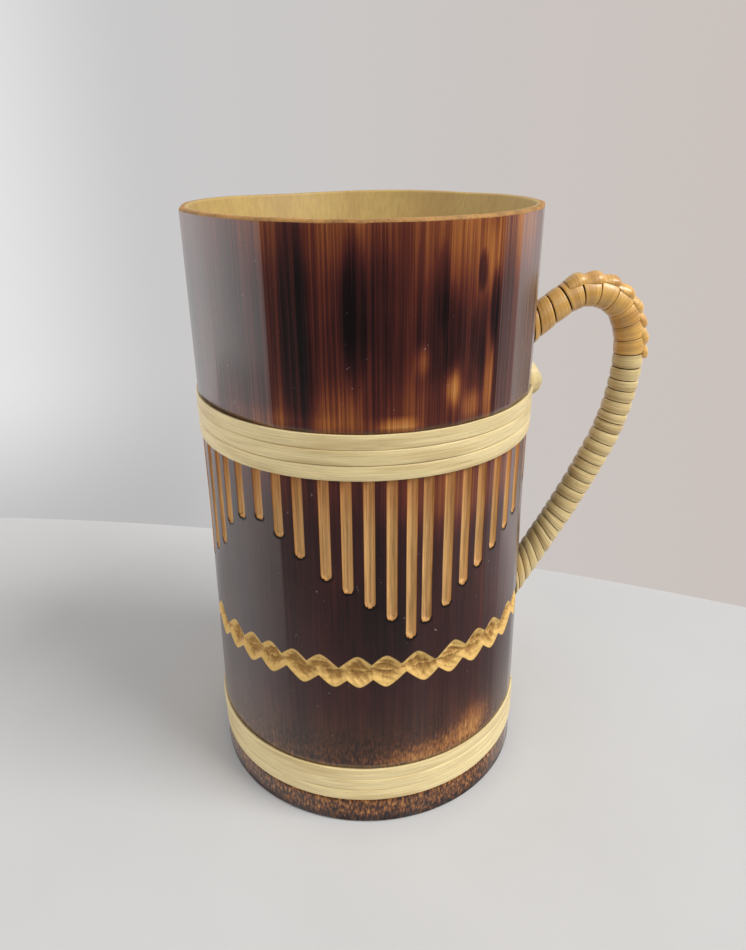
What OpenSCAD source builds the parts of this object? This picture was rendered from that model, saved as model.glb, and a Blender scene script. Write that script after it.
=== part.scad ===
// Bamboo mug with carved flutes, a carved chain, two strip bands and a wrapped handle.
// The axis of the cup is Z, the table is at zero height and the handle lies along +X.

/* [Cup] */
// Height of the cup from the table to the rim
cup_h = 150; // [136:1:170]
// Outer radius of the culm from the end of its taper up to the rim
cup_r = 41.85; // [40:0.05:44]
// How much larger the outer radius is at the table
base_flare = 1.25; // [0.5:0.05:2.5]
// Height at which the taper of the culm ends
taper_h = 75; // [65:1:85]
// Thickness of the wall
wall = 5; // [4.6:0.1:6.4]
// Thickness of the lip
lip_w = 2.4; // [2:0.1:3.2]
// Depth of the slope inside the mouth that thins the wall to the lip
lip_depth = 10; // [6:1:14]
// Rounding of the edges of the lip and of the foot
edge_round = 0.6; // [0.3:0.1:0.9]
// Height of the drinking floor at the wall
floor_z = 18; // [15:1:24]
// Thickness of the node that closes the culm
node_w = 9; // [6:1:12]
// Sag of the node at its middle
node_sag = 1.5; // [0.5:0.5:3]
// Rounding where the node meets the wall
node_round = 5; // [3:0.5:6]

/* [Flutes] */
// Flutes round the cup
flute_count = 51; // [45:2:57]
// Radius of the gouge that cuts a flute
flute_r = 1.25; // [1:0.05:1.45]
// Depth of a flute below the skin
flute_depth = 1; // [0.7:0.1:1.2]
// Length of the longest flute below the upper band
flute_long = 41; // [36:1:43]
// Difference in length from one flute to the next
flute_step = 4; // [2:0.5:4.5]
// Flutes from the point of one V to the point of the next
flutes_per_v = 14; // [10:2:14]

/* [Chain] */
// Height of the middle line of the chain
chain_z = 48.3; // [44:0.1:49]
// Diamonds in the chain
chain_count = 35; // [33:1:37]
// Width of a diamond
chip_w = 7.8; // [7:0.1:8]
// Height of each of the two chips of a diamond
chip_h = 4.1; // [3:0.1:4.6]
// Depth of a chip below the skin
chip_depth = 1.5; // [1:0.1:2]
// Rise of the chain from the cup's axis to the handle's side
chain_lean = 0.9; // [0:0.1:2]

/* [Bands] */
// Height of the lower edge of the upper band
upper_band_z = 98; // [96:0.5:102]
// Height of the lower edge of the lower band
lower_band_z = 8.2; // [6:0.1:12]
// Rise of the upper band from the cup's axis to the handle's side
upper_band_lean = 0.1; // [0:0.1:1]
// Rise of the lower band from the cup's axis to the handle's side
lower_band_lean = 0.8; // [0:0.1:1.5]
// Turns of strip in a band
band_turns = 3; // [2:1:4]
// Width of the strip of the bands
band_w = 3; // [2.4:0.1:3.2]
// Thickness of the strip of the bands
band_t = 1.1; // [0.8:0.1:1.4]
// Gap between the turns of a band
band_gap = 0.5; // [0.5:0.05:0.8]
// Depth of the groove that a band lies in
seat_depth = 1.1; // [0.8:0.1:1.2]
// Length of the folded end of the upper band
fold_h = 9; // [6:0.5:10]
// Radius of the folded end of the upper band at its middle
fold_r = 1.8; // [1.2:0.1:2.4]

/* [Handle] */
// Height of the middle of the handle's upper end above the upper band
handle_over_band = 10.4; // [9:0.1:16]
// Angle of the handle above the horizontal at its upper end
handle_rise = 42; // [38:1:46]
// Angle through which the handle bends down from end to end
handle_turn = 162; // [158:1:165]
// Length of the bent part of the handle along its middle
handle_run = 98.5; // [94:0.5:104]
// Radius of the rod inside the wrapping
rod_r = 3; // [2.6:0.1:3.2]
// Wood left behind the sockets of the rod
socket_skin = 0.9; // [0.6:0.1:1.2]

/* [Wrapping] */
// Turns of the amber strip over the bend
upper_turns = 10; // [8:1:11]
// Turns of the pale strip down the straight
lower_turns = 23; // [19:1:23]
// Thickness of the strips of the handle
wrap_t = 0.7; // [0.5:0.05:0.8]
// Gap between the turns of the amber strip
upper_gap = 0.9; // [0.85:0.05:1.2]
// Gap between the turns of the pale strip
lower_gap = 0.72; // [0.7:0.02:0.84]
// Knots in the ridge along the outside of the bend
knot_count = 8; // [6:1:10]
// Height of a knot above the amber strip
knot_h = 1.2; // [0.8:0.1:1.8]

/* [Hidden] */
$fn = 96;

// Clearance of the glue between the rod and its sockets
glue = 0.05;
// Clearance between a wound strip and what it is wound on
wound_clear = 0.25;
// Overrun of the cuts
over = 1;
// Points in each rounded corner
round_steps = 5;
// Degrees in a radian
RAD = 180 / PI;

base_r = cup_r + base_flare;
inner_r = cup_r - wall;
foot_r = base_r - wall;
band_pitch = band_w + band_gap;
band_h = band_turns * band_w + (band_turns - 1) * band_gap;
band_margin = band_gap;
handle_top_z = upper_band_z + band_h + handle_over_band;
flute_pitch = 360 / flute_count;
// Turn of the flutes about the cup, in degrees
flute_turn = -2;
// Vs round the cup, away from the handle
v_count = 3;
// How far the flutes of the V at the front stand from their even places, in shares of the pitch
flute_shift_shares = [
    -0.18, -0.18, 0, 0.08, 0.07, 0.25, 0.2, 0.16, 0.13,
    0, -0.27, -0.27, -0.37, -0.5, -0.5, -0.5, -0.5
];
// How much shorter the same flutes are than their even lengths, in shares of the step
flute_end_shares = [
    0.8, 0.6, 0, 0.3, 0.2, 0, 0.2, 0.3, 0.35,
    0, -0.1, -0.3, -0.25, -0.4, -0.7, -0.9, -1.4
];
// Flutes in those tables before the one at the point of the V
flutes_left = 9;
chain_pitch = 360 / chain_count;
// Place of the first diamond round the cup, in degrees
chain_start = -120.97;
// How far the chips of a diamond lie to either side of its middle, in shares of the pitch
chip_skew_shares = [0.16, 0.22, 0.02, 0, 0.13, -0.05, -0.08, 0, -0.13];
// How far the diamonds stand from their even places, in shares of the pitch
chip_shift_shares = [0.05, 0.03, 0.02, -0.1, 0.03, 0.15, 0.12, 0, 0];
// Place of the deepest point of a chip between the middle line and its tip, as a share of its height
chip_deep_share = 0.25;
// Outline of a chip, in shares of its half width and of its height
chip_outline_shares = [
    [-1, -0.1], [1, -0.1], [1, 0.25], [0.5, 0.76], [0.15, 1], [-0.15, 1], [-0.5, 0.76], [-1, 0.25]
];

// Lengths and bends of the five curved stretches of the handle, in shares of the run and of the turn
run_shares = [0.12, 0.2, 0.1, 0.275, 0.305];
turn_shares = [0.05, 0.605, 0.15, 0.155, 0.04];
// Share of the slope of the wall that the turns of strip take on at the two ends of the handle
lean_share = 0.8;
// Lengths over which the turns lean towards the wall at the two ends
upper_lean_run = 14;
lower_lean_run = 30;
// Rings in a turn on the handle and on the cup, and rings and sides of the rod
wrap_rings = 12;
band_rings = 42;
rod_rings = 56;
rod_sides = 12;
// Share of a turn in which a band climbs to its next turn
climb_share = 0.11;
// Section of a strip, in shares of its width and of its thickness
strip_shares = [[-0.5, 0], [0.5, 0], [0.5, 0.55], [0.2, 1], [-0.2, 1], [-0.5, 0.55]];
// Section of the ridge of knots, in shares of its half angle and of its height, from its hollow underside
knot_shares = [[0, 0], [1, 0], [0.95, 0.4], [0.5, 0.85], [0, 1], [-0.5, 0.85], [-0.95, 0.4], [-1, 0]];
// Half angle of the ridge, rings in a knot, and the lowest height between knots as a share of a knot
knot_angle = 30;
knot_rings = 5;
knot_low_share = 0.45;
// Shares of the amber strip's run between which the ridge of knots lies
ridge_shares = [0.3, 0.98];

// Outer radius of the culm at a height
function skin_r(z) = z < taper_h ? base_r + (cup_r - base_r) * z / taper_h : cup_r;

// Points of an arc round a centre
function arc(centre, r, from, to) =
    [for (i = [0 : round_steps]) centre + r * [cos(from + (to - from) * i / round_steps),
                                               sin(from + (to - from) * i / round_steps)]];

// Faces of a tube that joins rings of a given number of points
function tube_faces(rings, points) = concat(
    [for (i = [1 : points - 2]) [0, i, i + 1]],
    [for (i = [1 : points - 2]) [for (q = [0, i + 1, i]) (rings - 1) * points + q]],
    [for (r = [0 : rings - 2]) for (i = [0 : points - 1]) for (half = [0, 1])
        let (a = r * points + i, b = r * points + (i + 1) % points)
        half == 0 ? [a, a + points, b + points] : [a, b + points, b]]
);

// Least distance between the points of each ring and those of the rings about one turn on
function least_gap(rings, per_turn) = min([
    for (i = [0 : len(rings) - per_turn - 2]) for (j = [i + per_turn - 1 : i + per_turn + 1])
        min([for (p = rings[i]) for (q = rings[j]) norm(p - q)])
]);

// One unbroken strip through its rings
module wound(rings) {
    points = [for (ring = rings) each ring];
    polyhedron(points, tube_faces(len(rings), len(rings[0])));
}

// Cup

module culm() {
    rotate_extrude() polygon(concat(
        [[0, floor_z - node_w - node_sag]],
        arc([foot_r - node_round, floor_z - node_w - node_round], node_round, 90, 0),
        [[foot_r, 0]],
        arc([base_r - edge_round, edge_round], edge_round, -90, 0),
        [[cup_r, taper_h]],
        arc([cup_r - edge_round, cup_h - edge_round], edge_round, 0, 90),
        arc([cup_r - lip_w + edge_round, cup_h - edge_round], edge_round, 90, 180),
        [[inner_r, cup_h - lip_depth]],
        arc([inner_r - node_round, floor_z + node_round], node_round, 0, -90),
        [[0, floor_z - node_sag]]
    ));
}

// Lean a band and its groove about the middle of the band, up towards the handle
module leaning(z, lean) {
    translate([0, 0, z + band_h / 2]) rotate([0, -atan(lean / cup_r), 0])
        translate([0, 0, -band_h / 2]) children();
}

module band_seat(z, lean) {
    seat_r = skin_r(z) - seat_depth;
    leaning(z, lean) translate([0, 0, -band_margin]) difference() {
        cylinder(r = base_r + over, h = band_h + 2 * band_margin);
        translate([0, 0, -over]) cylinder(r = seat_r, h = band_h + 2 * (band_margin + over));
    }
}

// Number of the flute at the point of a V
function v_flute(v) = (flute_count - 1) / 2 + flutes_per_v * (v - (v_count - 1) / 2);
function flute_steps(j) = min(flutes_per_v / 2, min([for (v = [0 : v_count - 1]) abs(j - v_flute(v))]));
// Entry of a table of shares that belongs to a flute of the last V, or zero
function flute_share(shares, j) =
    let (i = j - v_flute(v_count - 1) + flutes_left)
    i < 0 || i >= len(shares) ? 0 : shares[i];

module flute(j) {
    angle = flute_turn + flute_pitch * (j + 1 / 2 + flute_share(flute_shift_shares, j));
    end_z = upper_band_z - flute_long
        + flute_step * (flute_steps(j) + flute_share(flute_end_shares, j));
    rotate([0, 0, angle]) translate([cup_r - flute_depth + flute_r, 0, 0])
        rotate_extrude() polygon(concat(
            [[0, upper_band_z + band_w], [0, end_z]],
            [for (a = [-60 : 30 : 0]) [flute_r * cos(a), end_z + flute_r * (1 + sin(a))]],
            [[flute_r, upper_band_z + band_w]]
        ));
}

// A chip is a pit with a rounded tip up; side is 1 for the upper chip and -1 for the lower
module chip(side) {
    deep = [-chip_depth, 0, side * chip_h * chip_deep_share];
    count = len(chip_outline_shares);
    corners = [for (q = chip_outline_shares) [0, side * q[0] * chip_w / 2, side * q[1] * chip_h]];
    spread = (chip_depth + over) / chip_depth;
    points = concat([deep], [for (c = corners) deep + (c - deep) * spread]);
    sides = [for (i = [1 : count]) [0, i, i % count + 1]];
    polyhedron(points, concat(sides, [[for (i = [count : -1 : 1]) i]]));
}

module diamond(k) {
    angle = chain_start + chain_pitch * (k + chip_shift_shares[k % len(chip_shift_shares)]);
    skew = chain_pitch * chip_skew_shares[k % len(chip_skew_shares)];
    z = chain_z + chain_lean * cos(angle);
    for (side = [-1, 1])
        rotate([0, 0, angle - side * skew]) translate([skin_r(z), 0, z]) chip(side);
}

// A diamond is left out where the lower end of the rod enters the wall
function under_handle(k) = cos(chain_start + chain_pitch * k) > cos(chain_pitch / 2);

module fluted_culm() {
    difference() {
        culm();
        for (j = [0 : flute_count - 1]) flute(j);
    }
}

module grooved_culm() {
    difference() {
        difference() {
            fluted_culm();
            band_seat(upper_band_z, upper_band_lean);
        }
        band_seat(lower_band_z, lower_band_lean);
    }
}

module cup_body() {
    color("#3a2219") difference() {
        grooved_culm();
        for (k = [0 : chain_count - 1]) if (!under_handle(k)) diamond(k);
        upper_socket();
        lower_socket();
    }
}

// Bands

// Height of a band above its lower edge after a number of turns
function band_climb(t) = band_pitch * (floor(t) + max(0, t - floor(t) - 1 + climb_share) / climb_share);

function band_ring(r, t) =
    let (angle = 360 * (t + climb_share / 2))
    [for (s = strip_shares)
        let (q = r + s[1] * band_t)
        [q * cos(angle), q * sin(angle), band_climb(t) + band_w * (s[0] + 1 / 2)]];

module band(name, z, lean) {
    r = skin_r(z) - seat_depth + wound_clear;
    rings = [for (i = [0 : floor((band_turns - climb_share) * band_rings)]) band_ring(r, i / band_rings)];
    echo(str("Least gap between the turns of the ", name, ": ", least_gap(rings, band_rings), " mm"));
    color("#e3d29c") leaning(z, lean) wound(rings);
}

module upper_band() {
    band("upper band", upper_band_z, upper_band_lean);
}

module lower_band() {
    band("lower band", lower_band_z, lower_band_lean);
}

module upper_band_fold() {
    band_out = skin_r(upper_band_z) - seat_depth + wound_clear + band_t;
    steps = 2 * round_steps;
    color("#d9bd7c") translate([band_out + glue + fold_r, 0, upper_band_z + band_h - fold_h + 3 * band_gap])
        rotate_extrude() polygon([for (i = [0 : steps]) let (t = i / steps)
            [4 * fold_r * t * (1 - t), fold_h * t]]);
}

// Handle

function run_of(k) = handle_run * run_shares[k];
function bend_of(k) = handle_turn * turn_shares[k];
function curve_r(k) = run_of(k) * RAD / bend_of(k);
last_curve = len(run_shares) - 1;

// Point and heading after a distance on a curved stretch
function on_curve(k, u) =
    let (h = headings[k], g = h - u * RAD / curve_r(k))
    starts[k] + curve_r(k) * [sin(h) - sin(g), cos(g) - cos(h)];
function heading_of(k) = k == 0 ? handle_rise : heading_of(k - 1) - bend_of(k - 1);
function start_of(k) = k == 0 ? [cup_r, handle_top_z] :
    let (h = heading_of(k - 1), g = heading_of(k))
    start_of(k - 1) + curve_r(k - 1) * [sin(h) - sin(g), cos(g) - cos(h)];
function run_before(k) = k == 0 ? 0 : run_before(k - 1) + run_of(k - 1);

headings = [for (k = [0 : last_curve + 1]) heading_of(k)];
starts = [for (k = [0 : last_curve + 1]) start_of(k)];
runs = [for (k = [0 : last_curve + 1]) run_before(k)];

// The last stretch is straight and ends on the tapered skin of the cup
fall = headings[last_curve + 1];
taper = (cup_r - base_r) / taper_h;
straight_run = (starts[last_curve + 1][0] - base_r - taper * starts[last_curve + 1][1])
    / (taper * sin(fall) - cos(fall));
handle_length = handle_run + straight_run;

function curve_at(s, k = 0) = k == last_curve || s < runs[k + 1] ? k : curve_at(s, k + 1);
function rod_heading(s) = s > handle_run ? fall : s < 0 ? handle_rise :
    let (k = curve_at(s)) headings[k] - (s - runs[k]) * RAD / curve_r(k);
function rod_point(s) =
    s > handle_run ? starts[last_curve + 1] + (s - handle_run) * [cos(fall), sin(fall)] :
    s < 0 ? starts[0] + s * [cos(handle_rise), sin(handle_rise)] :
    let (k = curve_at(s)) on_curve(k, s - runs[k]);
// Point beside the middle of the rod: angle zero is the outside of the bend
function around_rod(s, angle, r) =
    let (p = rod_point(s), h = rod_heading(s))
    [p[0] - r * cos(angle) * sin(h), r * sin(angle), p[1] + r * cos(angle) * cos(h)];

// Depth of a socket along the rod, which meets the wall at an angle to the horizontal
function socket_depth(angle, z) = (skin_r(z) - inner_r - socket_skin - rod_r * sin(angle)) / cos(angle);
upper_depth = socket_depth(handle_rise, handle_top_z);
lower_end = rod_point(handle_length);
lower_depth = socket_depth(180 + fall, lower_end[1]);

// Place something that stands along Z at a point of the handle's plane, along a heading
module along_rod(point, heading) {
    translate([point[0], 0, point[1]]) rotate([0, 90 - heading, 0]) children();
}

module upper_socket() {
    along_rod(rod_point(0), handle_rise)
        translate([0, 0, -upper_depth - glue]) cylinder(r = rod_r + glue, h = upper_depth + 4 * rod_r);
}

module lower_socket() {
    along_rod(lower_end, fall)
        translate([0, 0, -4 * rod_r]) cylinder(r = rod_r + glue, h = lower_depth + glue + 4 * rod_r);
}

// The rod runs from the bottom of one socket to the bottom of the other
module handle_rod() {
    whole = handle_length + upper_depth + lower_depth;
    color("#b98d4c") wound([
        for (i = [0 : rod_rings]) [
            for (side = [0 : rod_sides - 1])
                around_rod(whole * i / rod_rings - upper_depth, -360 * side / rod_sides, rod_r)
        ]
    ]);
}

// Wrapping of the handle

wrap_r = rod_r + wound_clear;
wrap_out = wrap_r + wrap_t;
// Slope of the turns along the rod, zero away from the ends
function lean_at(s) = lean_share * (tan(handle_rise) * max(0, 1 - s / upper_lean_run)
    + tan(180 + fall) * max(0, 1 - (handle_length - s) / lower_lean_run));
// Point on the leaning turns
function on_rod(s, angle, r) = around_rod(s + lean_at(s) * r * cos(angle), angle, r);

// Distance from the wall, along the rod, at which a leaning turn clears it
function wall_clear(slope) = wrap_out * slope * (1 - lean_share) + wound_clear * (1 + slope);
upper_start = wall_clear(tan(handle_rise));
lower_stop = handle_length - wall_clear(tan(180 + fall));
// The amber strip gives way to the pale strip after this share of the run
change_share = 0.445;
change_s = handle_run * change_share;
upper_pitch = (change_s - upper_start) / upper_turns;
lower_pitch = (lower_stop - change_s) / lower_turns;
// Distance along the rod of the edge between two turns; it stands still before the first and after the last
function turn_edge(t) = upper_start + upper_pitch * max(0, min(t, upper_turns))
    + lower_pitch * max(0, min(t - upper_turns, lower_turns));
// The strips start and stop as a point, in this part of a turn
point_share = 0.35;
// Side of the rod on which the turns are counted, in degrees from the outside of the bend
wrap_side = 90;

// Rings of a strip that fills the space from one edge to the next, less a gap
function wrap_rings_of(first, last, gap) = [
    for (i = [ceil(first * wrap_rings) : floor(last * wrap_rings)])
        let (
            t = i / wrap_rings,
            from = turn_edge(t) + gap / 2,
            to = turn_edge(t + 1) - gap / 2
        )
        [for (q = strip_shares)
            on_rod((from + to) / 2 + (to - from) * q[0], wrap_side - 360 * t, wrap_r + wrap_t * q[1])]
];

module wrap(name, colour, first, last, gap) {
    rings = wrap_rings_of(first, last, gap);
    echo(str("Least gap between the turns of the ", name, ": ", least_gap(rings, wrap_rings), " mm"));
    color(colour) wound(rings);
}

module handle_wrap_upper() {
    wrap("amber strip", "#c9953f", point_share - 1, upper_turns - 1, upper_gap);
}

module handle_wrap_lower() {
    first = upper_turns - 1 + 1 / wrap_rings;
    wrap("pale strip", "#cdb780", first, upper_turns + lower_turns - point_share, lower_gap);
}

// Height of the ridge along a knot, from 0 at its start to 1 at its end, as a share of its full height
function knot_rise(t) = knot_low_share + (1 - knot_low_share) * sin(180 * sqrt(t));

module handle_knots() {
    r = wrap_out + wound_clear;
    from = change_s * ridge_shares[0];
    run = change_s * (ridge_shares[1] - ridge_shares[0]);
    steps = knot_count * knot_rings;
    color("#c98f3c") wound([
        for (i = [0 : steps])
            let (s = from + run * i / steps, rise = knot_h * knot_rise((i % knot_rings) / knot_rings))
            [for (q = knot_shares) on_rod(s, knot_angle * q[0], r + rise * q[1])]
    ]);
}

cup_body();
upper_band();
upper_band_fold();
lower_band();
handle_rod();
handle_wrap_upper();
handle_wrap_lower();
handle_knots();
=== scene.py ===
import math
from functools import partial

import bpy
import numpy as np
from bpy.props import FloatProperty, FloatVectorProperty, IntProperty, PointerProperty
from bpy.types import Operator, Panel, PropertyGroup
from mathutils import Matrix, Vector


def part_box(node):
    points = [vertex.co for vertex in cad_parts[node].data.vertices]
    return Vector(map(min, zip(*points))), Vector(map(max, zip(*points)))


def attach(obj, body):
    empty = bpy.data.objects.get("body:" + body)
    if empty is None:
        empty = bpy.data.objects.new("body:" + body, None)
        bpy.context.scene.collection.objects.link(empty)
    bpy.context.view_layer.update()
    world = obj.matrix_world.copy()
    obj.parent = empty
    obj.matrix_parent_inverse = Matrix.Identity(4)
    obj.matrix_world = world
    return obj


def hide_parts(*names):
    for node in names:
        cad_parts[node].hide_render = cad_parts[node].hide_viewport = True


bl_info = {
    "name": "Bamboo cup with a wrapped handle",
    "version": (1, 0, 0),
    "blender": (4, 5, 0),
    "location": "3D View > Sidebar > Bamboo cup",
    "description": "Builds a scorched bamboo cup with carved flutes, wound bands and a wrapped cane handle",
    "category": "Add Mesh",
}

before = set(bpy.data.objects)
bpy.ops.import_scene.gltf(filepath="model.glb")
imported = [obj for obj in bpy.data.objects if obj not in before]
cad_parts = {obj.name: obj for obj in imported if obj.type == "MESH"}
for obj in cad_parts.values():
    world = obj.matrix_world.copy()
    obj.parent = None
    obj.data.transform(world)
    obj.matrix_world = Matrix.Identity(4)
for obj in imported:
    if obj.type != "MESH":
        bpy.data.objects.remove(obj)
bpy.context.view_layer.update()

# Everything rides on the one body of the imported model
BODY = "root"


def mm(size):
    """A size in millimetres, in metres."""
    return size / 1000


def linear(hex_colour):
    """An sRGB hex colour as linear red, green and blue."""
    shares = [int(hex_colour[i:i + 2], 16) / 255 for i in (1, 3, 5)]
    return [s / 12.92 if s <= 0.04045 else ((s + 0.055) / 1.055) ** 2.4 for s in shares]


def length(name, description, default):
    """A length property, in metres."""
    return FloatProperty(name=name, description=description, default=default, unit="LENGTH", precision=5)


def angle(name, description, default):
    """An angle property, its default in degrees."""
    return FloatProperty(name=name, description=description, default=math.radians(default), subtype="ANGLE")


def colour(name, description, default):
    """A colour property, its default in sRGB hex."""
    return FloatVectorProperty(
        name=name, description=description, default=linear(default), subtype="COLOR", min=0, max=1)


def light(name, description, default):
    """A brightness or power property."""
    return FloatProperty(name=name, description=description, default=default, min=0)


def count(name, description, default, least=1):
    """A property that counts pieces or turns."""
    return IntProperty(name=name, description=description, default=default, min=least)


# Sizes and colours that a user would change

cup_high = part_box("cup_body")[1]


class CulmSettings(PropertyGroup):
    height: length("Height", "Height of the cup", cup_high[2])
    foot_radius: length("Foot radius", "Radius of the culm at the foot", cup_high[0])
    flare: length("Flare", "How much wider the foot is than the rim", mm(1.25))
    taper_height: length("Taper height", "Height over which the culm narrows", mm(75))
    wall: length("Wall", "Thickness of the wall", mm(5))
    lip_width: length("Lip width", "Width of the flat top of the rim", mm(2.4))
    lip_depth: length("Lip depth", "Height of the bevel inside the rim", mm(10))
    edge_round: length("Edge rounding", "Rounding of the sawn edges", mm(0.6))
    floor_height: length("Floor height", "Height of the node that closes the cup", mm(18))
    node_thickness: length("Node thickness", "Thickness of the node", mm(9))
    node_sag: length("Node sag", "Sag of the node at its middle", mm(1.5))
    node_round: length("Node rounding", "Rounding between node and wall", mm(5))
    plane_depth: length("Planing depth", "Depth of the flats left by the knife", mm(0.55))


class CarvingSettings(PropertyGroup):
    flute_count: count("Flutes", "Flutes round the cup", 51, 3)
    flute_radius: length("Gouge radius", "Radius of the gouge that cut the flutes", mm(1.25))
    flute_depth: length("Flute depth", "Depth of a flute", mm(1))
    flute_length: length("Flute length", "Longest flute below the upper band", mm(41))
    flute_step: length("Flute step", "Difference between neighbouring flutes", mm(4))
    chain_height: length("Chain height", "Height of the middle line of the chain", mm(48.3))
    chain_count: count("Diamonds", "Diamonds in the chain", 35, 3)
    chip_width: length("Chip width", "Width of a diamond", mm(7.8))
    chip_height: length("Chip height", "Height of each chip of a diamond", mm(4.1))
    chip_depth: length("Chip depth", "Depth of a chip", mm(1.5))


class BandSettings(PropertyGroup):
    upper_height: length("Upper band", "Height of the lower edge of the upper band", mm(98))
    lower_height: length("Lower band", "Height of the lower edge of the lower band", mm(8.2))
    upper_lean: length("Upper lean", "Rise of the upper band towards the handle", mm(0.1))
    chain_lean: length("Chain lean", "Rise of the chain towards the handle", mm(0.9))
    lower_lean: length("Lower lean", "Rise of the lower band towards the handle", mm(0.8))
    turns: count("Turns", "Turns of strip in a band", 3)
    pitch: length("Pitch", "Height from one turn to the next", mm(3.5))
    gap: length("Gap", "Gap between the turns of a band", mm(0.08))
    thickness: length("Thickness", "Thickness of the strip", mm(1.1))
    seat: length("Groove depth", "Depth of the groove under a band", mm(1.1))
    seat_margin: length("Groove margin", "Room in the groove beside a band", mm(0.1))
    clearance: length("Clearance", "Gap between the strip and what it is wound on", mm(0.25))


class HandleSettings(PropertyGroup):
    top_height: length("Top height", "Height of the handle's upper root", mm(118.4))
    rise: angle("Rise", "Angle of the handle above the horizontal at its upper root", 42)
    turn: angle("Turn", "Angle through which the handle bends", 162)
    run: length("Run", "Length of the bent part of the handle", mm(98.5))
    rod_radius: length("Rod radius", "Radius of the rod inside the wrapping", mm(3))
    wrap_thickness: length("Wrap thickness", "Thickness of the wound strips", mm(0.7))
    upper_turns: count("Amber turns", "Turns of the amber strip", 10)
    lower_turns: count("Pale turns", "Turns of the pale strip", 23)
    knots: count("Knots", "Knots along the outside of the bend", 8)
    knot_height: length("Knot height", "Height of a knot above the amber strip", mm(1.2))


class FinishSettings(PropertyGroup):
    russet: colour("Russet", "Dots of the sawn end", "#5e2e18")
    bare: colour("Bare skin", "Patches of the inner wall", "#b98a52")
    carved: colour("Carved wood", "Wood laid open by the gouge", "#d3a66c")
    chip: colour("Chip", "Shallow wood of the carved chain", "#deb76e")
    # The deep wood of the chain is painted darker than the chip colour, as shade in the chips' hollows
    chip_shaded: colour("Chip, deep", "Deep wood of the carved chain", "#9e763f")
    sawn: colour("Sawn end", "Sawn end of the culm", "#b28243")
    inner: colour("Inner wall", "Wall of the culm inside", "#bfa25e")
    straw: colour("Straw", "Split bamboo strip of the bands", "#eed9a2")
    amber: colour("Amber", "Cane strip over the bend", "#e9b663")
    pale: colour("Pale cane", "Cane strip down the straight", "#e5cc92")
    table: colour("Table", "Table top", "#c9c9c9")
    wall: colour("Wall", "Wall behind the table", "#cac9c9")
    wall_right: colour("Wall, right", "Wall behind the table at the right", "#cbc2bd")


class StageSettings(PropertyGroup):
    distance: length("Camera distance", "Distance of the camera from the cup's axis", mm(183.62))
    height: length("Camera height", "Height of the camera above the table", mm(163.6))
    turn: angle("Camera turn", "Turn of the camera about the cup, away from the handle", 7)
    pan: angle("Camera pan", "How far the camera looks past the axis, towards the handle", 0.6)
    pitch: angle("Camera pitch", "How far the camera looks down", 24.4)
    roll: angle("Camera roll", "Turn of the camera about its line of sight", -0.45)
    lens: FloatProperty(name="Lens", description="Focal length in millimetres", default=28.27, min=1)
    window_power: light("Window", "Power of the soft lamp at the right, in watts", 94.5)
    sides: light("Side light", "Brightness of the room's bright sides", 1.2)
    front: light("Front light", "Brightness of the room high in front", 1.3)
    ceiling: light("Ceiling light", "Brightness of the ceiling", 0.4)
    shade: light("Shade", "Brightness of the room in front, below the camera", 0.05)


# Meshes

def eased(share):
    """A share from 0 to 1 that starts and ends softly."""
    return share * share * (3 - 2 * share)


def drift(rng, places, every, size):
    """A smooth random line: a new value for every so many places, joined by soft curves."""
    values = rng.uniform(-size, size, int(places / every) + 3)
    place = np.arange(places) / every
    low = place.astype(int)
    share = eased(place - low)
    return values[low] * (1 - share) + values[low + 1] * share


def ramp(x, start, over):
    """A share that goes from 0 to 1 while x goes from the start over a distance."""
    return np.clip((x - start) / over, 0, 1)


# Values that agree to this many decimals are one, and a gap may be this share of a step too wide
SAME_DECIMALS, STEP_SLACK = 9, 1e-6


def filled(values, step):
    """Sorted values with the wide gaps between them filled evenly."""
    values = np.unique(np.round(values, SAME_DECIMALS))
    result = []
    for low, high in zip(values[:-1], values[1:]):
        parts = max(1, math.ceil((high - low) / step - STEP_SLACK))
        result.extend(low + (high - low) * np.arange(parts) / parts)
    return np.array(result + [values[-1]])


def add_object(name, data):
    """A new object in the scene."""
    piece = bpy.data.objects.new(name, data)
    bpy.context.scene.collection.objects.link(piece)
    return piece


def tube_faces(rings, start):
    """Faces of a tube through rings of points, closed at both ends, its points numbered from the start."""
    rows, columns = rings.shape[:2]
    here = start + np.arange(rows - 1)[:, None] * columns
    across = np.arange(columns)[None, :]
    beside = (across + 1) % columns
    above = here + columns
    quads = np.stack([here + across, here + beside, above + beside, above + across], axis=-1)
    end = start + np.arange(columns)
    return [*quads.reshape(-1, 4), end[::-1], end + (rows - 1) * columns]


def add_piece(name, node, tubes, materials, attributes, face_materials=None):
    """An object of one or more closed tubes that stands for a CAD node and takes a slot's finish."""
    mesh = bpy.data.meshes.new(name)
    points = np.concatenate([rings.reshape(-1, 3) for rings in tubes])
    starts = np.cumsum([0] + [rings[..., 0].size for rings in tubes])
    faces = [face for rings, start in zip(tubes, starts) for face in tube_faces(rings, start)]
    sizes = np.array([len(face) for face in faces])
    corners = np.concatenate(faces)
    mesh.vertices.add(len(points))
    mesh.vertices.foreach_set("co", points.astype(np.float32).ravel())
    mesh.loops.add(len(corners))
    mesh.loops.foreach_set("vertex_index", corners.astype(np.int32))
    mesh.polygons.add(len(sizes))
    mesh.polygons.foreach_set("loop_start", (np.cumsum(sizes) - sizes).astype(np.int32))
    mesh.polygons.foreach_set("use_smooth", np.ones(len(sizes), dtype=bool))
    for material in materials:
        mesh.materials.append(material)
    if face_materials is not None:
        mesh.polygons.foreach_set("material_index", np.asarray(face_materials, dtype=np.int32))
    for key, values in attributes.items():
        values = np.asarray(values, dtype=np.float32)
        kind, field = ("FLOAT", "value") if values.ndim == 1 else ("FLOAT_VECTOR", "vector")
        mesh.attributes.new(key, kind, "POINT").data.foreach_set(field, values.ravel())
    mesh.update(calc_edges=True)
    mesh.validate()
    piece = add_object(name, mesh)
    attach(piece, BODY)
    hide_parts(node)


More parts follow.
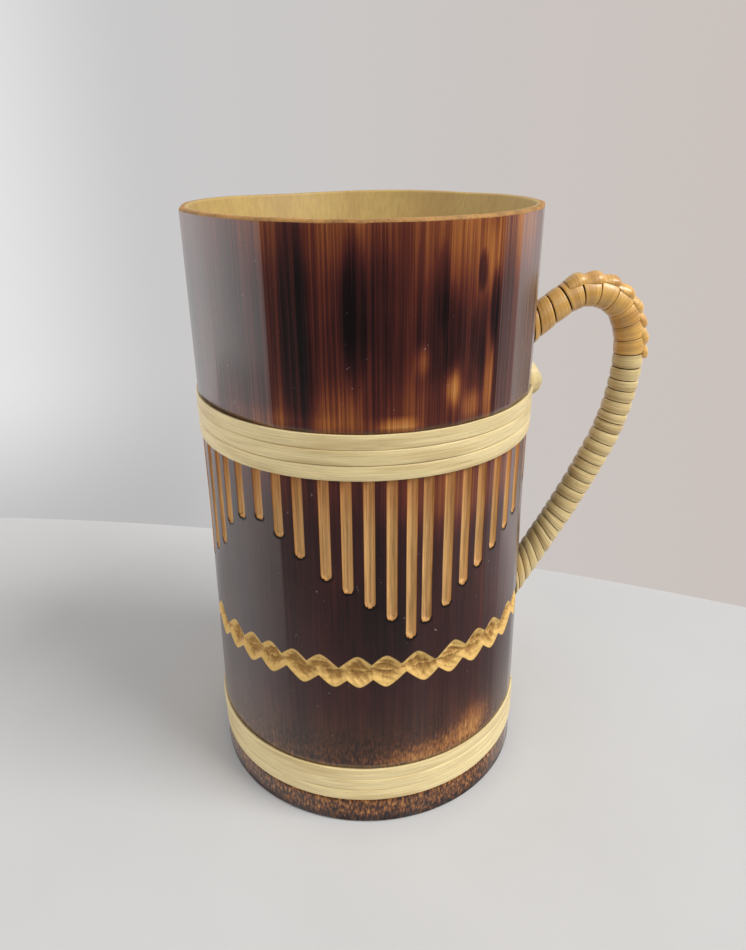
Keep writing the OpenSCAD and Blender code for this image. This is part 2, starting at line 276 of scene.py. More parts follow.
def grain_at(along, across, number):
    """Where each point lies along and across its strip, in mm, and a number that sets its turn apart."""
    return np.stack(np.broadcast_arrays(along * 1000, across * 1000, number), axis=-1).reshape(-1, 3)


# Places on a strip's section: round its edge in degrees, over its top and to the ends of its flat underside
EDGE_TURNS = (0, 30, 60, 90)
TOP_SHARES = (0.5, 0.25, 0, -0.25, -0.5)
UNDERSIDE = 0.9


def strip_section(width, thickness, crown, bevel):
    """Section of a split strip: flat underside, rounded edges and a slightly domed top, as across and up."""
    half = width / 2
    edge, up = half - bevel, thickness - crown - bevel
    right = [(edge + bevel * math.cos(t), up + bevel * math.sin(t)) for t in np.radians(EDGE_TURNS)]
    top = [(half * share, thickness - crown * share * share) for share in TOP_SHARES]
    left = [(-x, y) for x, y in reversed(right)]
    return np.array([(-half * UNDERSIDE, 0), (half * UNDERSIDE, 0)] + right + top + left)


# The culm

def skin_radius(culm, z):
    """Outer radius of the culm at a height."""
    rim = culm.foot_radius - culm.flare
    return rim + culm.flare * np.clip(1 - z / culm.taper_height, 0, 1)


def angle_between(a, b):
    """How far one angle lies past another, the short way round."""
    return (a - b + math.pi) % (2 * math.pi) - math.pi


# Sharp edges between the planed flats at the front, as degrees round the cup from the handle
FRONT_EDGES = [-168, -124.3, -112.3, -96.7, -82.8, -69.5, -55.2, -46.5, -31]
# Narrowest and widest flat of the rest of the cup, the room left for the last of them, in degrees, and the
# seed of their widths
BACK_FLATS = (11, 21)
LAST_FLAT = 24
FLATS_SEED = 5
# The most of the way to its chord that a flat's arc is pressed, and the flats' fading towards the foot
PRESSED = 0.8
FADE_FROM, FADE_OVER, FADE_LEAST = mm(45), mm(60), 0.3


def flat_edges():
    """Edges between the planed flats: those of the front, then random widths round the rest of the cup."""
    rng = np.random.default_rng(FLATS_SEED)
    edges = list(FRONT_EDGES)
    while edges[-1] < FRONT_EDGES[0] + 360 - LAST_FLAT:
        edges.append(edges[-1] + rng.uniform(*BACK_FLATS))
    return np.radians(edges)


def on_flats(around):
    """The flats' edges, the places as angles past the first of them, and the flats that the places lie on."""
    edges = flat_edges()
    turned = (around - edges[0]) % (2 * math.pi) + edges[0]
    return edges, turned, np.maximum(np.searchsorted(edges, turned, side="right") - 1, 0)


def planed(culm, around, z):
    """How far the knife's flats lie below the round skin.

    Each flat is the arc between its edges, pressed part of the way to its chord.
    """
    edges, turned, place = on_flats(around)
    low, high = edges[place], np.append(edges[1:], edges[0] + 2 * math.pi)[place]
    half = (high - low) / 2
    radius = skin_radius(culm, z)
    rise = radius * (1 - np.cos(half))
    pressed = np.minimum(PRESSED, culm.plane_depth / rise)
    chord = 1 - np.cos(half) / np.cos(turned - (low + high) / 2)
    return pressed * radius * chord * np.maximum(ramp(z, FADE_FROM, FADE_OVER), FADE_LEAST)


# Heights in mm between which the lower band, the chain and the upper band keep a lean of their own
LEAN_HEIGHTS = [3, 7, 19, 42, 55, 96, 110, 140]


def lean_at(bands, z):
    """How far a ring on the cup at a height rises towards the handle."""
    heights = np.array(LEAN_HEIGHTS) / 1000
    leans = [0, bands.lower_lean, bands.lower_lean, bands.chain_lean, bands.chain_lean,
             bands.upper_lean, bands.upper_lean, 0]
    return np.interp(z, heights, leans)


# Shifts and ends of the flutes of the V at the front, in shares of the pitch and of the step between flutes
FLUTE_SHIFTS = [-0.18, -0.18, 0, 0.08, 0.07, 0.25, 0.2, 0.16, 0.13,
                0, -0.27, -0.27, -0.37, -0.5, -0.5, -0.5, -0.5]
FLUTE_ENDS = [0.8, 0.6, 0, 0.3, 0.2, 0, 0.2, 0.3, 0.35,
              0, -0.1, -0.3, -0.25, -0.4, -0.7, -0.9, -1.4]
# The flute at the tip of that V, the flutes from one tip to the next, and the listed flutes to the left of it
FRONT_V = 39
FLUTES_PER_V = 14
FLUTES_LEFT = 9
# Where the count of flutes starts, in degrees round the cup
FLUTE_START = -2


def flutes(carving, bands):
    """The angle of each flute and the height of its lower end."""
    pitch = 2 * math.pi / carving.flute_count
    tips = [FRONT_V - 2 * FLUTES_PER_V, FRONT_V - FLUTES_PER_V, FRONT_V]
    result = []
    for j in range(carving.flute_count):
        i = j - FRONT_V + FLUTES_LEFT
        listed = 0 <= i < len(FLUTE_SHIFTS)
        steps = min([FLUTES_PER_V / 2] + [abs(j - tip) for tip in tips])
        turn = math.radians(FLUTE_START) + pitch * (j + 0.5 + (FLUTE_SHIFTS[i] if listed else 0))
        end = bands.upper_height - carving.flute_length
        end += carving.flute_step * (steps + (FLUTE_ENDS[i] if listed else 0))
        result.append((turn, end))
    return result


# First diamond of the chain, in degrees round the cup
CHAIN_START = -120.97
# How far the two chips of a diamond lie apart, and each diamond from its even place, in shares of the pitch
CHIP_SKEWS = [0.16, 0.22, 0.02, 0, 0.13, -0.05, -0.08, 0, -0.13]
CHIP_SHIFTS = [0.05, 0.03, 0.02, -0.1, 0.03, 0.15, 0.12, 0, 0]
# Deepest line of a chip and its overlap with the other chip, in shares of its height
CHIP_DEEP = 0.25
CHIP_OVERLAP = 0.1
# Shares of the full depth at which a chip starts at its base and at which its floor levels out
CHIP_START = 0.25
CHIP_FLOOR = 0.9
# Rounding of a chip's point, half height of the chain between two diamonds, and what the rounding takes off
CHIP_POINT = mm(1.2)
CHAIN_JOINT = mm(1.45)
CHIP_ROUNDED = mm(0.25)


def chips(carving, bands):
    """The angle, middle height and side of each chip of the chain."""
    pitch = 2 * math.pi / carving.chain_count
    result = []
    for k in range(carving.chain_count):
        turn = math.radians(CHAIN_START) + pitch * (k + CHIP_SHIFTS[k % len(CHIP_SHIFTS)])
        # The handle's lower root covers the place of one diamond
        if math.cos(turn) > math.cos(pitch / 2):
            continue
        skew = pitch * CHIP_SKEWS[k % len(CHIP_SKEWS)]
        z = carving.chain_height + bands.chain_lean * math.cos(turn)
        result.extend((turn - side * skew, z, side) for side in (-1, 1))
    return result


def chip_depth(carving, across, up, side):
    """Depth of a rounded three-sided pit at a place across and up from the diamond's middle."""
    half, tall = carving.chip_width / 2, carving.chip_height + CHIP_ROUNDED
    base, deep = -CHIP_OVERLAP * tall, CHIP_DEEP * tall
    up = up * side
    slope = (tall - CHAIN_JOINT) / (math.hypot(half, CHIP_POINT) - CHIP_POINT)
    outline = tall - slope * (np.hypot(across, CHIP_POINT) - CHIP_POINT)
    floor = (up - base) / (deep - base) + CHIP_START
    edge = (outline - up) / (tall - deep)
    return carving.chip_depth * np.clip(np.minimum(floor, edge), -1, CHIP_FLOOR)


# Places of the columns across a flute, in shares of its half width
FLUTE_COLUMNS = (-1.05, -1, -0.85, -0.6, -0.3, 0, 0.3, 0.6, 0.85, 1, 1.05)
# Widest column, and tallest row over the chain, the flutes and the rest of the culm
COLUMN_STEP = mm(0.32)
CHAIN_STEP, FLUTE_STEP, ROW_STEP = mm(0.22), mm(0.5), mm(1.3)
# Fine rows reach this far past the chain and the flutes
CHAIN_MARGIN, FLUTE_MARGIN = mm(0.6), mm(1)
# The groove of a band stops this far short of a whole pitch, and rows this close to its edges keep them sharp
GROOVE_SHORT = mm(0.3)
GROOVE_EDGE = mm(0.05)


def groove_ends(bands, low):
    """Lower and upper edge of the groove of a band."""
    return low - bands.seat_margin, low + bands.turns * bands.pitch - GROOVE_SHORT


def culm_grid(culm, carving, bands):
    """Angles of the columns and nominal heights of the rows of the outer skin."""
    reach = math.sqrt(carving.flute_radius ** 2 - (carving.flute_radius - carving.flute_depth) ** 2)
    skin = culm.foot_radius - culm.flare
    marks = [turn + reach * share / skin for turn, _ in flutes(carving, bands) for share in FLUTE_COLUMNS]
    marks.extend(flat_edges())
    marks = (np.array(marks) + math.pi) % (2 * math.pi) - math.pi
    around = filled(np.append(marks, marks.min() + 2 * math.pi), COLUMN_STEP / skin)[:-1]
    heights = [culm.edge_round, culm.height - culm.edge_round]
    for low in (bands.lower_height, bands.upper_height):
        heights.extend(end + side for end in groove_ends(bands, low) for side in (-GROOVE_EDGE, GROOVE_EDGE))
    chain_reach = carving.chip_height + CHAIN_MARGIN
    chain = filled([carving.chain_height - chain_reach, carving.chain_height,
                    carving.chain_height + chain_reach], CHAIN_STEP)
    fluted = filled([bands.upper_height - carving.flute_length - FLUTE_MARGIN,
                     bands.upper_height - FLUTE_MARGIN], FLUTE_STEP)
    rest = filled(heights, ROW_STEP)
    outside = (rest < chain[0]) | ((rest > chain[-1]) & (rest < fluted[0])) | (rest > fluted[-1])
    return around, np.sort(np.concatenate([rest[outside], chain, fluted]))


# Places where the knife left the rim low, as degrees round the cup, depth in mm and width in degrees
RIM_DIPS = [(-108, 0.12, 4), (112, 0.5, 26), (-97, 0.12, 1.5), (-60, 0.08, 5), (40, 0.2, 12)]


def rim_dip(around):
    """How far the rim lies below its full height."""
    dip = np.zeros_like(around)
    for turn, depth, width in RIM_DIPS:
        far = angle_between(around, math.radians(turn)) / math.radians(width)
        dip += mm(depth) * np.exp(-far * far)
    return dip


# Marks of the flame on the front of the culm: degrees round the cup, height in mm, half widths in degrees
# and mm, and how much lighter or, below zero, darker they are than the skin beside them
FLAME_MARKS = [
    (-117, 128, 3.4, 34, -0.17), (-113.6, 126, 1.8, 34, -0.16), (-107.5, 126, 3.6, 26, 0.05),
    (-99.6, 133, 3.4, 16, -0.22), (-99.6, 114, 4, 7, 0.1), (-101, 134, 2.2, 11, -0.07),
    (-92, 136, 4, 12, -0.05), (-75.5, 137, 2, 9, -0.16), (-72, 128, 2.4, 10, -0.09),
    (-62.5, 139.5, 1.7, 4, -0.3), (-57.4, 132, 1.6, 8, -0.25), (-55.8, 125, 1.1, 26, -0.12),
    (-90, 149, 56, 7, 0.08), (-83, 126, 9, 30, 0.07), (-66, 143, 9, 9, 0.12), (-60, 137, 5, 10, 0.14),
    (-58.3, 118, 1.8, 12, 0.36), (-42, 146, 9, 10, 0.22), (-66, 91, 24, 8, 0.22), (-76, 127, 9, 9, -0.08),
    (-61, 127, 5, 8, -0.12), (-101, 118, 5, 9, 0.09), (-146, 128, 20, 30, -0.12),
    (-64.5, 112.3, 4.2, 3.6, 0.3), (-71.1, 116.8, 2.6, 4.2, 0.4), (-81.1, 123.1, 2.4, 3.2, 0.3),
    (-84, 115, 8, 7, 0.1), (-88, 109.8, 6, 1.5, 0.4), (-106, 112.4, 6, 6, 0.16),
    (-120.9, 112.5, 4, 4, 0.1), (-125, 110, 26, 2.4, 0.14), (-139.7, 113.3, 8, 4, 0.08),
    (-71, 21.5, 17, 3.8, 0.24), (-57, 25, 8, 5, 0.28), (-84, 20.5, 10, 2, 0.1), (-110, 24, 22, 6, -0.05),
    (-96, 60, 14, 12, -0.05), (-77, 126, 15, 12, -0.05), (-99, 123, 20, 10, -0.05), (-57, 143, 4, 7, 0.14),
    (-40, 70, 16, 30, 0.1),
]
# The same kind of marks, placed at random round the sides and the back: how many bars, spots and low marks,
# and the range of each of the values listed above
BACK_MARKS = [
    (24, (-22, 200), (115, 142), (1.5, 5), (14, 34), (-0.2, 0.08)),
    (26, (-22, 200), (108, 146), (1.5, 5), (3, 10), (-0.15, 0.35)),
    (12, (-22, 200), (18, 36), (6, 18), (2, 7), (0, 0.3)),
]
# Powers that make the edge of a light mark soft and that of a dark one harder
LIGHT_EDGE, DARK_EDGE = 1.4, 3
# How light the skin is at some heights in mm, from black at 0 to bare wood at 1
SKIN_HEIGHTS = [1, 3, 8, 18, 24, 36, 46, 86, 97, 107, 112, 137, 143, 150]
SKIN_TONES = [0.14, 0.42, 0.46, 0.38, 0.32, 0.23, 0.2, 0.2, 0.34, 0.38, 0.33, 0.3, 0.36, 0.43]
# Each planed flat took the flame a little differently
FLAT_TONE = 0.03
# Seeds of the flats' tones and of the marks at the back
TONE_SEED, MARKS_SEED = 21, 11


def tone_at(around, z):
    """How light the skin is at places on it."""
    edges, _, place = on_flats(around)
    tone = np.interp(z * 1000, SKIN_HEIGHTS, SKIN_TONES)
    tone += np.random.default_rng(TONE_SEED).uniform(-FLAT_TONE, FLAT_TONE, len(edges))[place]
    rng = np.random.default_rng(MARKS_SEED)
    back = [[rng.uniform(*ends) for ends in ranges] for marks, *ranges in BACK_MARKS for _ in range(marks)]
    for turn, height, wide, tall, strength in FLAME_MARKS + back:
        across = angle_between(around, math.radians(turn)) / math.radians(wide)
        up = (z - mm(height)) / mm(tall)
        tone += strength * np.exp(-(across * across + up * up) ** (LIGHT_EDGE if strength > 0 else DARK_EDGE))
    return tone


# Where the lacquer is full or worn: the angle in degrees at which that starts, and the radians over which it
# grows. It is full left of a flat's edge and at the back, and worn between two places near the handle.
FULL_LEFT = (FRONT_EDGES[1], 1 / 60)
FULL_BACK = (137.51, 0.4)
WORN_FROM = (-80, 0.45)
WORN_TO = (60, 0.5)
# How much more a full lacquer shines, and how much less a worn one, at some heights in mm
LACQUER_HEIGHTS = [15, 45, 70, 100, 150]
LACQUER_MORE = [-0.06, 0.02, 0.1, 0.2, 0.2]
LACQUER_LESS = [0.3, 0.36, 0.18, 0.12, 0.12]


def lacquer_at(around, z):
    """How much more or less the lacquer shines: fuller away from the handle, dulled by hands near it."""
    def past(place, side=1):
        """How far a place is reached, counting round one way or, with a side of minus one, the other."""
        return ramp(side * around, side * math.radians(place[0]), place[1])

    more = np.interp(z * 1000, LACQUER_HEIGHTS, LACQUER_MORE)
    less = np.interp(z * 1000, LACQUER_HEIGHTS, LACQUER_LESS)
    return (past(FULL_LEFT, -1) + past(FULL_BACK)) * more - past(WORN_FROM) * past(WORN_TO, -1) * less


# Lengths of the waves that make up the knife's uneven strokes in a chip
SLANT_WAVE, UP_WAVE, ACROSS_WAVE = mm(0.42), mm(0.7), mm(1.1)
# Height of the strokes, and the depth of the cut at which they reach it
STROKE_HEIGHT, STROKE_FULL = mm(0.3), mm(0.4)
# How far, in radians, a seed of one turns the strokes and shifts their two waves
STROKE_TURN, STROKE_SHIFT, STROKE_SLIDE = 7, 40, 23


def strokes(across, up, seed):
    """Uneven strokes of the knife in a chip, between minus one and one. The seed turns and shifts them."""
    slant = across * math.cos(seed * STROKE_TURN) + up * math.sin(seed * STROKE_TURN)
    wave = np.sin(up / UP_WAVE + across / ACROSS_WAVE + seed * STROKE_SLIDE)
    return np.sin(slant / SLANT_WAVE + seed * STROKE_SHIFT) * wave


# The skin round the lower end of a flute is painted darker, as shade where the cut drops in: how far, how
# softly, and up to which height
END_SHADE_REACH, END_SHADE_FADE, END_SHADE_RISE = mm(0.6), mm(0.35), mm(0.8)
# What that painted shade takes off the skin's lightness and off the lacquer's shine
END_SHADE_TONE, END_SHADE_LACQUER = 0.4, 0.6
# Depth that stands for skin without a cut
UNCUT = mm(-0.3)
# Angles, in radians, past which a flute and a chip have no effect, and a distance that no flute reaches
FLUTE_NEAR, CHIP_NEAR = 0.2, 0.11
FAR_AWAY = 1.0


def ring(around, radius, z):
    """Points at angles round the axis, a radius and a height."""
    return np.stack(np.broadcast_arrays(radius * np.cos(around), radius * np.sin(around), z), axis=-1)


def culm_skin(culm, carving, bands):
    """The outer skin: its columns' angles, its points, the carving's depth, the grooves, the painted shade
    round the flutes' lower ends.
    """
    around, heights = culm_grid(culm, carving, bands)
    a = around[None, :]
    z = heights[:, None] + lean_at(bands, heights)[:, None] * np.cos(a)
    skin = skin_radius(culm, z) - planed(culm, a, z)
    cut = np.full(z.shape, UNCUT)
    end_shade, seat = np.zeros(z.shape), np.zeros(z.shape)
    for turn, end in flutes(carving, bands):
        beside = angle_between(a, turn)
        across = np.where(np.abs(beside) > FLUTE_NEAR, FAR_AWAY, skin * np.sin(beside))
        below = np.minimum(0, z - end - carving.flute_radius)
        room = carving.flute_radius ** 2 - across * across - below * below
        depth = np.sqrt(np.maximum(room, 0)) - (carving.flute_radius - carving.flute_depth)
        cut = np.maximum(cut, np.where(z > bands.upper_height + bands.pitch, UNCUT, depth))
        # Painted shade on the skin round the flute's lower end
        rim = carving.flute_radius + END_SHADE_REACH - np.hypot(across, below)
        end_shade = np.maximum(end_shade, ramp(rim, 0, END_SHADE_FADE) * ramp(-below, 0, END_SHADE_RISE))
    for turn, middle, side in chips(carving, bands):
        beside = angle_between(around, turn)
        near = np.abs(beside) < CHIP_NEAR
        across, up = skin[:, near] * np.sin(beside[near])[None, :], z[:, near] - middle
        depth = chip_depth(carving, across, up, side)
        depth = depth + STROKE_HEIGHT * ramp(depth, 0, STROKE_FULL) * strokes(across, up, turn)
        cut[:, near] = np.maximum(cut[:, near], depth)
    radius = skin - np.maximum(cut, 0)
    for low in (bands.lower_height, bands.upper_height):
        bottom, top = groove_ends(bands, low)
        inside = (heights > bottom) & (heights < top)
        seat[inside] = 1
        radius[inside] = np.minimum(radius[inside], skin_radius(culm, low) - bands.seat)
    return around, ring(a, radius, z), cut, seat, end_shade


# Face materials of the culm, in the order that they are given to the mesh
SKIN, SAWN, INNER, NODE = range(4)
# Rows of the culm's profile, as shares of the way over the lip, down the bevel and the wall, to the middle of
# the floor, under the foot, up its inside and to the middle of the node's underside
LIP_ROWS = (0.42, 0.6)
BEVEL_ROWS = (0.2, 0.4, 0.6, 0.8, 1)
WALL_ROWS = np.linspace(0.1, 1, 10)
FLOOR_ROWS = (0.85, 0.65, 0.45, 0.25, 0.08)
FOOT_ROWS = (0.4, 0.7, 1)
HOLLOW_ROWS = (0.4, 1)
UNDERSIDE_ROWS = (0.8, 0.5, 0.25, 0.08)
ARC_ROWS = 5
# Height below the rim over which its dips fade, and the power with which the knife's flats fade across it
DIP_FADE = mm(3)
FLAT_FADE = 3


def arc(r, z, radius, start, stop, kind):
    """Rows of the profile along an arc between two angles in degrees, as radius, height and material."""
    turns = np.radians(np.linspace(start, stop, ARC_ROWS))
    return [(r + radius * math.cos(t), z + radius * math.sin(t), kind) for t in turns]


def node_face(reach, level, sag, shares):
    """Rows of a sagging face of the node."""
    return [(reach * s, level - sag * (1 - s * s), NODE) for s in shares]


def build_culm(culm, carving, bands, materials):
    """The culm: the rows of the foot, of the carved skin, and of the rim and the inside."""
    around, skin, cut, seat, end_shade = culm_skin(culm, carving, bands)
    rim, edge, curve = culm.foot_radius - culm.flare, culm.edge_round, culm.node_round
    inner, foot_inner = rim - culm.wall, culm.foot_radius - culm.wall
    # The rim, the bevel, the inner wall and the floor, from the outside in
    lip, top = rim - culm.lip_width, culm.height - edge
    inside = arc(rim - edge, top, edge, 0, 90, SAWN)[1:]
    inside += [(rim - culm.lip_width * s, culm.height, SAWN) for s in LIP_ROWS]
    inside += arc(lip + edge, top, edge, 90, 180, INNER)
    inside += [(lip + (inner - lip) * s, top - (culm.lip_depth - edge) * s, INNER) for s in BEVEL_ROWS]
    wall_top, wall_low = culm.height - culm.lip_depth, culm.floor_height + curve
    inside += [(inner, wall_top + (wall_low - wall_top) * s, INNER) for s in WALL_ROWS]
    inside += arc(inner - curve, wall_low, curve, 0, -90, NODE)[1:]
    inside += node_face(inner - curve, culm.floor_height, culm.node_sag, FLOOR_ROWS)
    # The foot, from the outside in, and the underside of the node
    underside = culm.floor_height - culm.node_thickness
    foot = arc(culm.foot_radius - edge, edge, edge, 0, -90, SKIN)[1:]
    foot += [(culm.foot_radius - culm.wall * s, 0, SAWN) for s in FOOT_ROWS]
    foot += [(foot_inner, (underside - curve) * s, INNER) for s in HOLLOW_ROWS]
    foot += arc(foot_inner - curve, underside - curve, curve, 0, 90, NODE)[1:]
    foot += node_face(foot_inner - curve, underside, culm.node_sag, UNDERSIDE_ROWS)
    foot.reverse()
    # The flats of the knife fade across the rim
    flat = planed(culm, around, np.full_like(around, culm.height))
    points = np.array([ring(around, r, z) for r, z, _ in foot] + list(skin)
                      + [ring(around, r - flat * ramp(r, inner, rim - inner) ** FLAT_FADE, z)
                         for r, z, _ in inside])
    points[..., 2] -= rim_dip(around) * ramp(points[..., 2], culm.height - DIP_FADE, DIP_FADE)
    kinds = [row[2] for row in foot] + [SKIN] * len(skin) + [row[2] for row in inside]
    # A face beside the skin takes the other material
    between = [max(a, b) if SKIN in (a, b) else b for a, b in zip(kinds[:-1], kinds[1:])]

    def whole(values, elsewhere=0):
        """Values of the skin's points, with the value of the rows before and after it."""
        rows = np.full(points.shape[:2], elsewhere, dtype=float)
        rows[len(foot):len(foot) + len(skin)] = values
        return rows.ravel()

    x, y, z = points.reshape(-1, 3).T
    turn = np.arctan2(y, x)
    add_piece("culm", "cup_body", [points], materials, {
        "cut_mm": whole(cut, UNCUT) * 1000,
        "seat": whole(seat),
        # The skin round the flutes' lower ends is painted darker and takes less coat, as shade
        "tone": tone_at(turn, z) - END_SHADE_TONE * whole(end_shade),
        "lacquer": lacquer_at(turn, z) - END_SHADE_LACQUER * whole(end_shade),
    }, np.append(np.repeat(between, len(around)), [NODE, NODE]))


# Wound strips

# Share of a turn in which a band climbs to its next turn
CLIMB = 0.11
RINGS_PER_TURN = 200
# What a band's height falls short of its turns' pitch
BAND_SHORT = mm(0.5)
# Doming of a band's strip and rounding of its edges
BAND_CROWN, BAND_BEVEL = mm(0.05), mm(0.22)
# Unevenness of a band: rings from one random value to the next, and how far it rises, tilts and grows thinner
BAND_RISE, BAND_TILT, BAND_THIN = (23, mm(0.05)), (31, mm(0.07)), (17, 0.05)


def build_band(name, node, culm, bands, low, lean, material, seed):
    """A strip wound in turns round the cup, each turn flat but for a short climb."""
    rng = np.random.default_rng(seed)
    width, half = bands.pitch - bands.gap, (bands.turns * bands.pitch - BAND_SHORT) / 2
    section = strip_section(width, bands.thickness, BAND_CROWN, BAND_BEVEL)
    rings = int((bands.turns - CLIMB) * RINGS_PER_TURN) + 1
    t = np.arange(rings) / RINGS_PER_TURN
    turn = 2 * math.pi * (t + CLIMB / 2)
    whole = np.floor(t)
    climb = bands.pitch * (whole + eased(np.maximum(0, t - whole - 1 + CLIMB) / CLIMB))
    up, tilt = drift(rng, rings, *BAND_RISE), drift(rng, rings, *BAND_TILT)
    thin = 1 + drift(rng, rings, *BAND_THIN)
    skin = float(skin_radius(culm, low))
    base = skin - bands.seat + bands.clearance
    across = section[:, 0][None, :]
    radius = base + section[:, 1][None, :] * thin[:, None] + tilt[:, None] * across / width
    radius = np.minimum(radius, base + bands.thickness)
    z = climb[:, None] + (bands.pitch - BAND_SHORT) / 2 + up[:, None] + across - half
    slope = -math.atan(lean / (culm.foot_radius - culm.flare))
    x = radius * np.cos(turn)[:, None]
    points = np.stack([x * math.cos(slope) + z * math.sin(slope), radius * np.sin(turn)[:, None],
                       -x * math.sin(slope) + z * math.cos(slope) + low + half], axis=-1)
    grain = grain_at((skin * turn)[:, None], across, whole[:, None] + seed)
    add_piece(name, node, [points], [material], {"grain": grain})


def way(heading):
    """One metre along a heading in the handle's plane."""
    return np.array([math.cos(heading), math.sin(heading)])


def bend(radius, start, stop):
    """The way round an arc in the handle's plane from one heading to another."""
    return radius * np.array([math.sin(start) - math.sin(stop), math.cos(stop) - math.cos(start)])


class HandlePath:
    """The middle line of the handle, five arcs and a straight line, and places beside it."""

    # Shares of the run and of the turn that the arcs take
    RUN_SHARES = np.array([0.12, 0.2, 0.1, 0.275, 0.305])
    TURN_SHARES = np.array([0.05, 0.605, 0.15, 0.155, 0.04])
    # How far the turns beside the wall follow it, and the runs from the two roots over which they do
    LEAN_SHARE = 0.8
    UPPER_LEAN_RUN = mm(14)
    LOWER_LEAN_RUN = mm(30)

    def __init__(self, handle, culm):
        self.rise, self.fall, self.run = handle.rise, handle.rise - handle.turn, handle.run
        runs, bends = handle.run * self.RUN_SHARES, handle.turn * self.TURN_SHARES
        self.radii = runs / bends
        self.points = [np.array([culm.foot_radius - culm.flare, handle.top_height])]
        self.headings, self.marks = [handle.rise], [0.0]
        for run, turn, radius in zip(runs, bends, self.radii):
            heading = self.headings[-1]
            self.points.append(self.points[-1] + bend(radius, heading, heading - turn))
            self.headings.append(heading - turn)
            self.marks.append(self.marks[-1] + run)
        # The straight line ends at the culm's skin, which tapers
        taper = -culm.flare / culm.taper_height
        last = self.points[-1]
        closing = taper * math.sin(self.fall) - math.cos(self.fall)
        self.length = self.run + (last[0] - culm.foot_radius - taper * last[1]) / closing

    def place(self, s):
        """A point in the handle's plane and the heading at a distance along the handle."""
        if s < 0:
            return self.points[0] + s * way(self.rise), self.rise
        if s > self.run:
            return self.points[-1] + (s - self.run) * way(self.fall), self.fall
        k = min(len(self.radii) - 1, int(np.searchsorted(self.marks, s, side="right")) - 1)
        heading = self.headings[k] - (s - self.marks[k]) / self.radii[k]
        return self.points[k] + bend(self.radii[k], self.headings[k], heading), heading

    def beside(self, s, turn, radius):
        """Points beside the middle line: angle zero is the outside of the bend."""
        s, turn, radius = np.broadcast_arrays(s, turn, radius)
        places = [self.place(distance) for distance in s.ravel()]
        point = np.array([place[0] for place in places]).reshape(s.shape + (2,))
        heading = np.array([place[1] for place in places]).reshape(s.shape)
        return np.stack([point[..., 0] - radius * np.cos(turn) * np.sin(heading), radius * np.sin(turn),
                         point[..., 1] + radius * np.cos(turn) * np.cos(heading)], axis=-1)

    def lean(self, s):
        """Slope of the turns along the rod, which follow the wall near the two roots."""
        upper = math.tan(self.rise) * np.maximum(0, 1 - s / self.UPPER_LEAN_RUN)
        lower = math.tan(math.pi + self.fall) * np.maximum(0, 1 - (self.length - s) / self.LOWER_LEAN_RUN)
        return self.LEAN_SHARE * (upper + lower)

    def wrapped(self, s, turn, radius):
        """Points on the leaning turns."""
        return self.beside(s + self.lean(s) * radius * np.cos(turn), turn, radius)


# Share of the run at which the amber strip gives way to the pale one
CHANGE = 0.445
WRAP_CLEARANCE = mm(0.25)
WRAP_RINGS = 48
# Where the amber strip starts, where the pale one starts after it, and how soon that one stops, in turns
AMBER_START, PALE_START, PALE_STOP = -0.65, 0.02, 0.35
# How far a turn on the handle is square to the rod, and half the share of a turn in which it climbs
SQUARENESS = 0.85
CLIMB_HALF = 0.2
# How far a turn starts before or after its even place, in shares of the pitch, the seed of that, and the
# turns that are worked out beyond each end
UNEVEN, UNEVEN_SEED = 0.15, 4
SPARE_TURNS = 2
# The first turns at the upper root lie looser, and the strips part a little where they change: the number of
# those turns and how much wider the gaps are, then where the change starts and is widest, and how wide it is
LOOSE_TURNS, LOOSE = 3, 2.6
CHANGE_BEFORE, CHANGE_MIDDLE, CHANGE_LOOSE = 0.9, 0.3, 2
# Narrowest turn, the width below which a turn is thinner too, and the thinnest share of it
LEAST_WIDTH, POINTED_WIDTH, POINTED_LEAST = mm(0.12), mm(0.9), 0.35
# Rounding of the strip's edges in shares of its section, and how far its underside lies inside its clearance
WRAP_BEVEL, WRAP_UNDER = 0.1, mm(0.2)
# Unevenness of a wrapping: rings from one random value to the next, and how much thinner it grows and tilts
WRAP_THIN, WRAP_TILT = (13, 0.1), (19, mm(0.2))


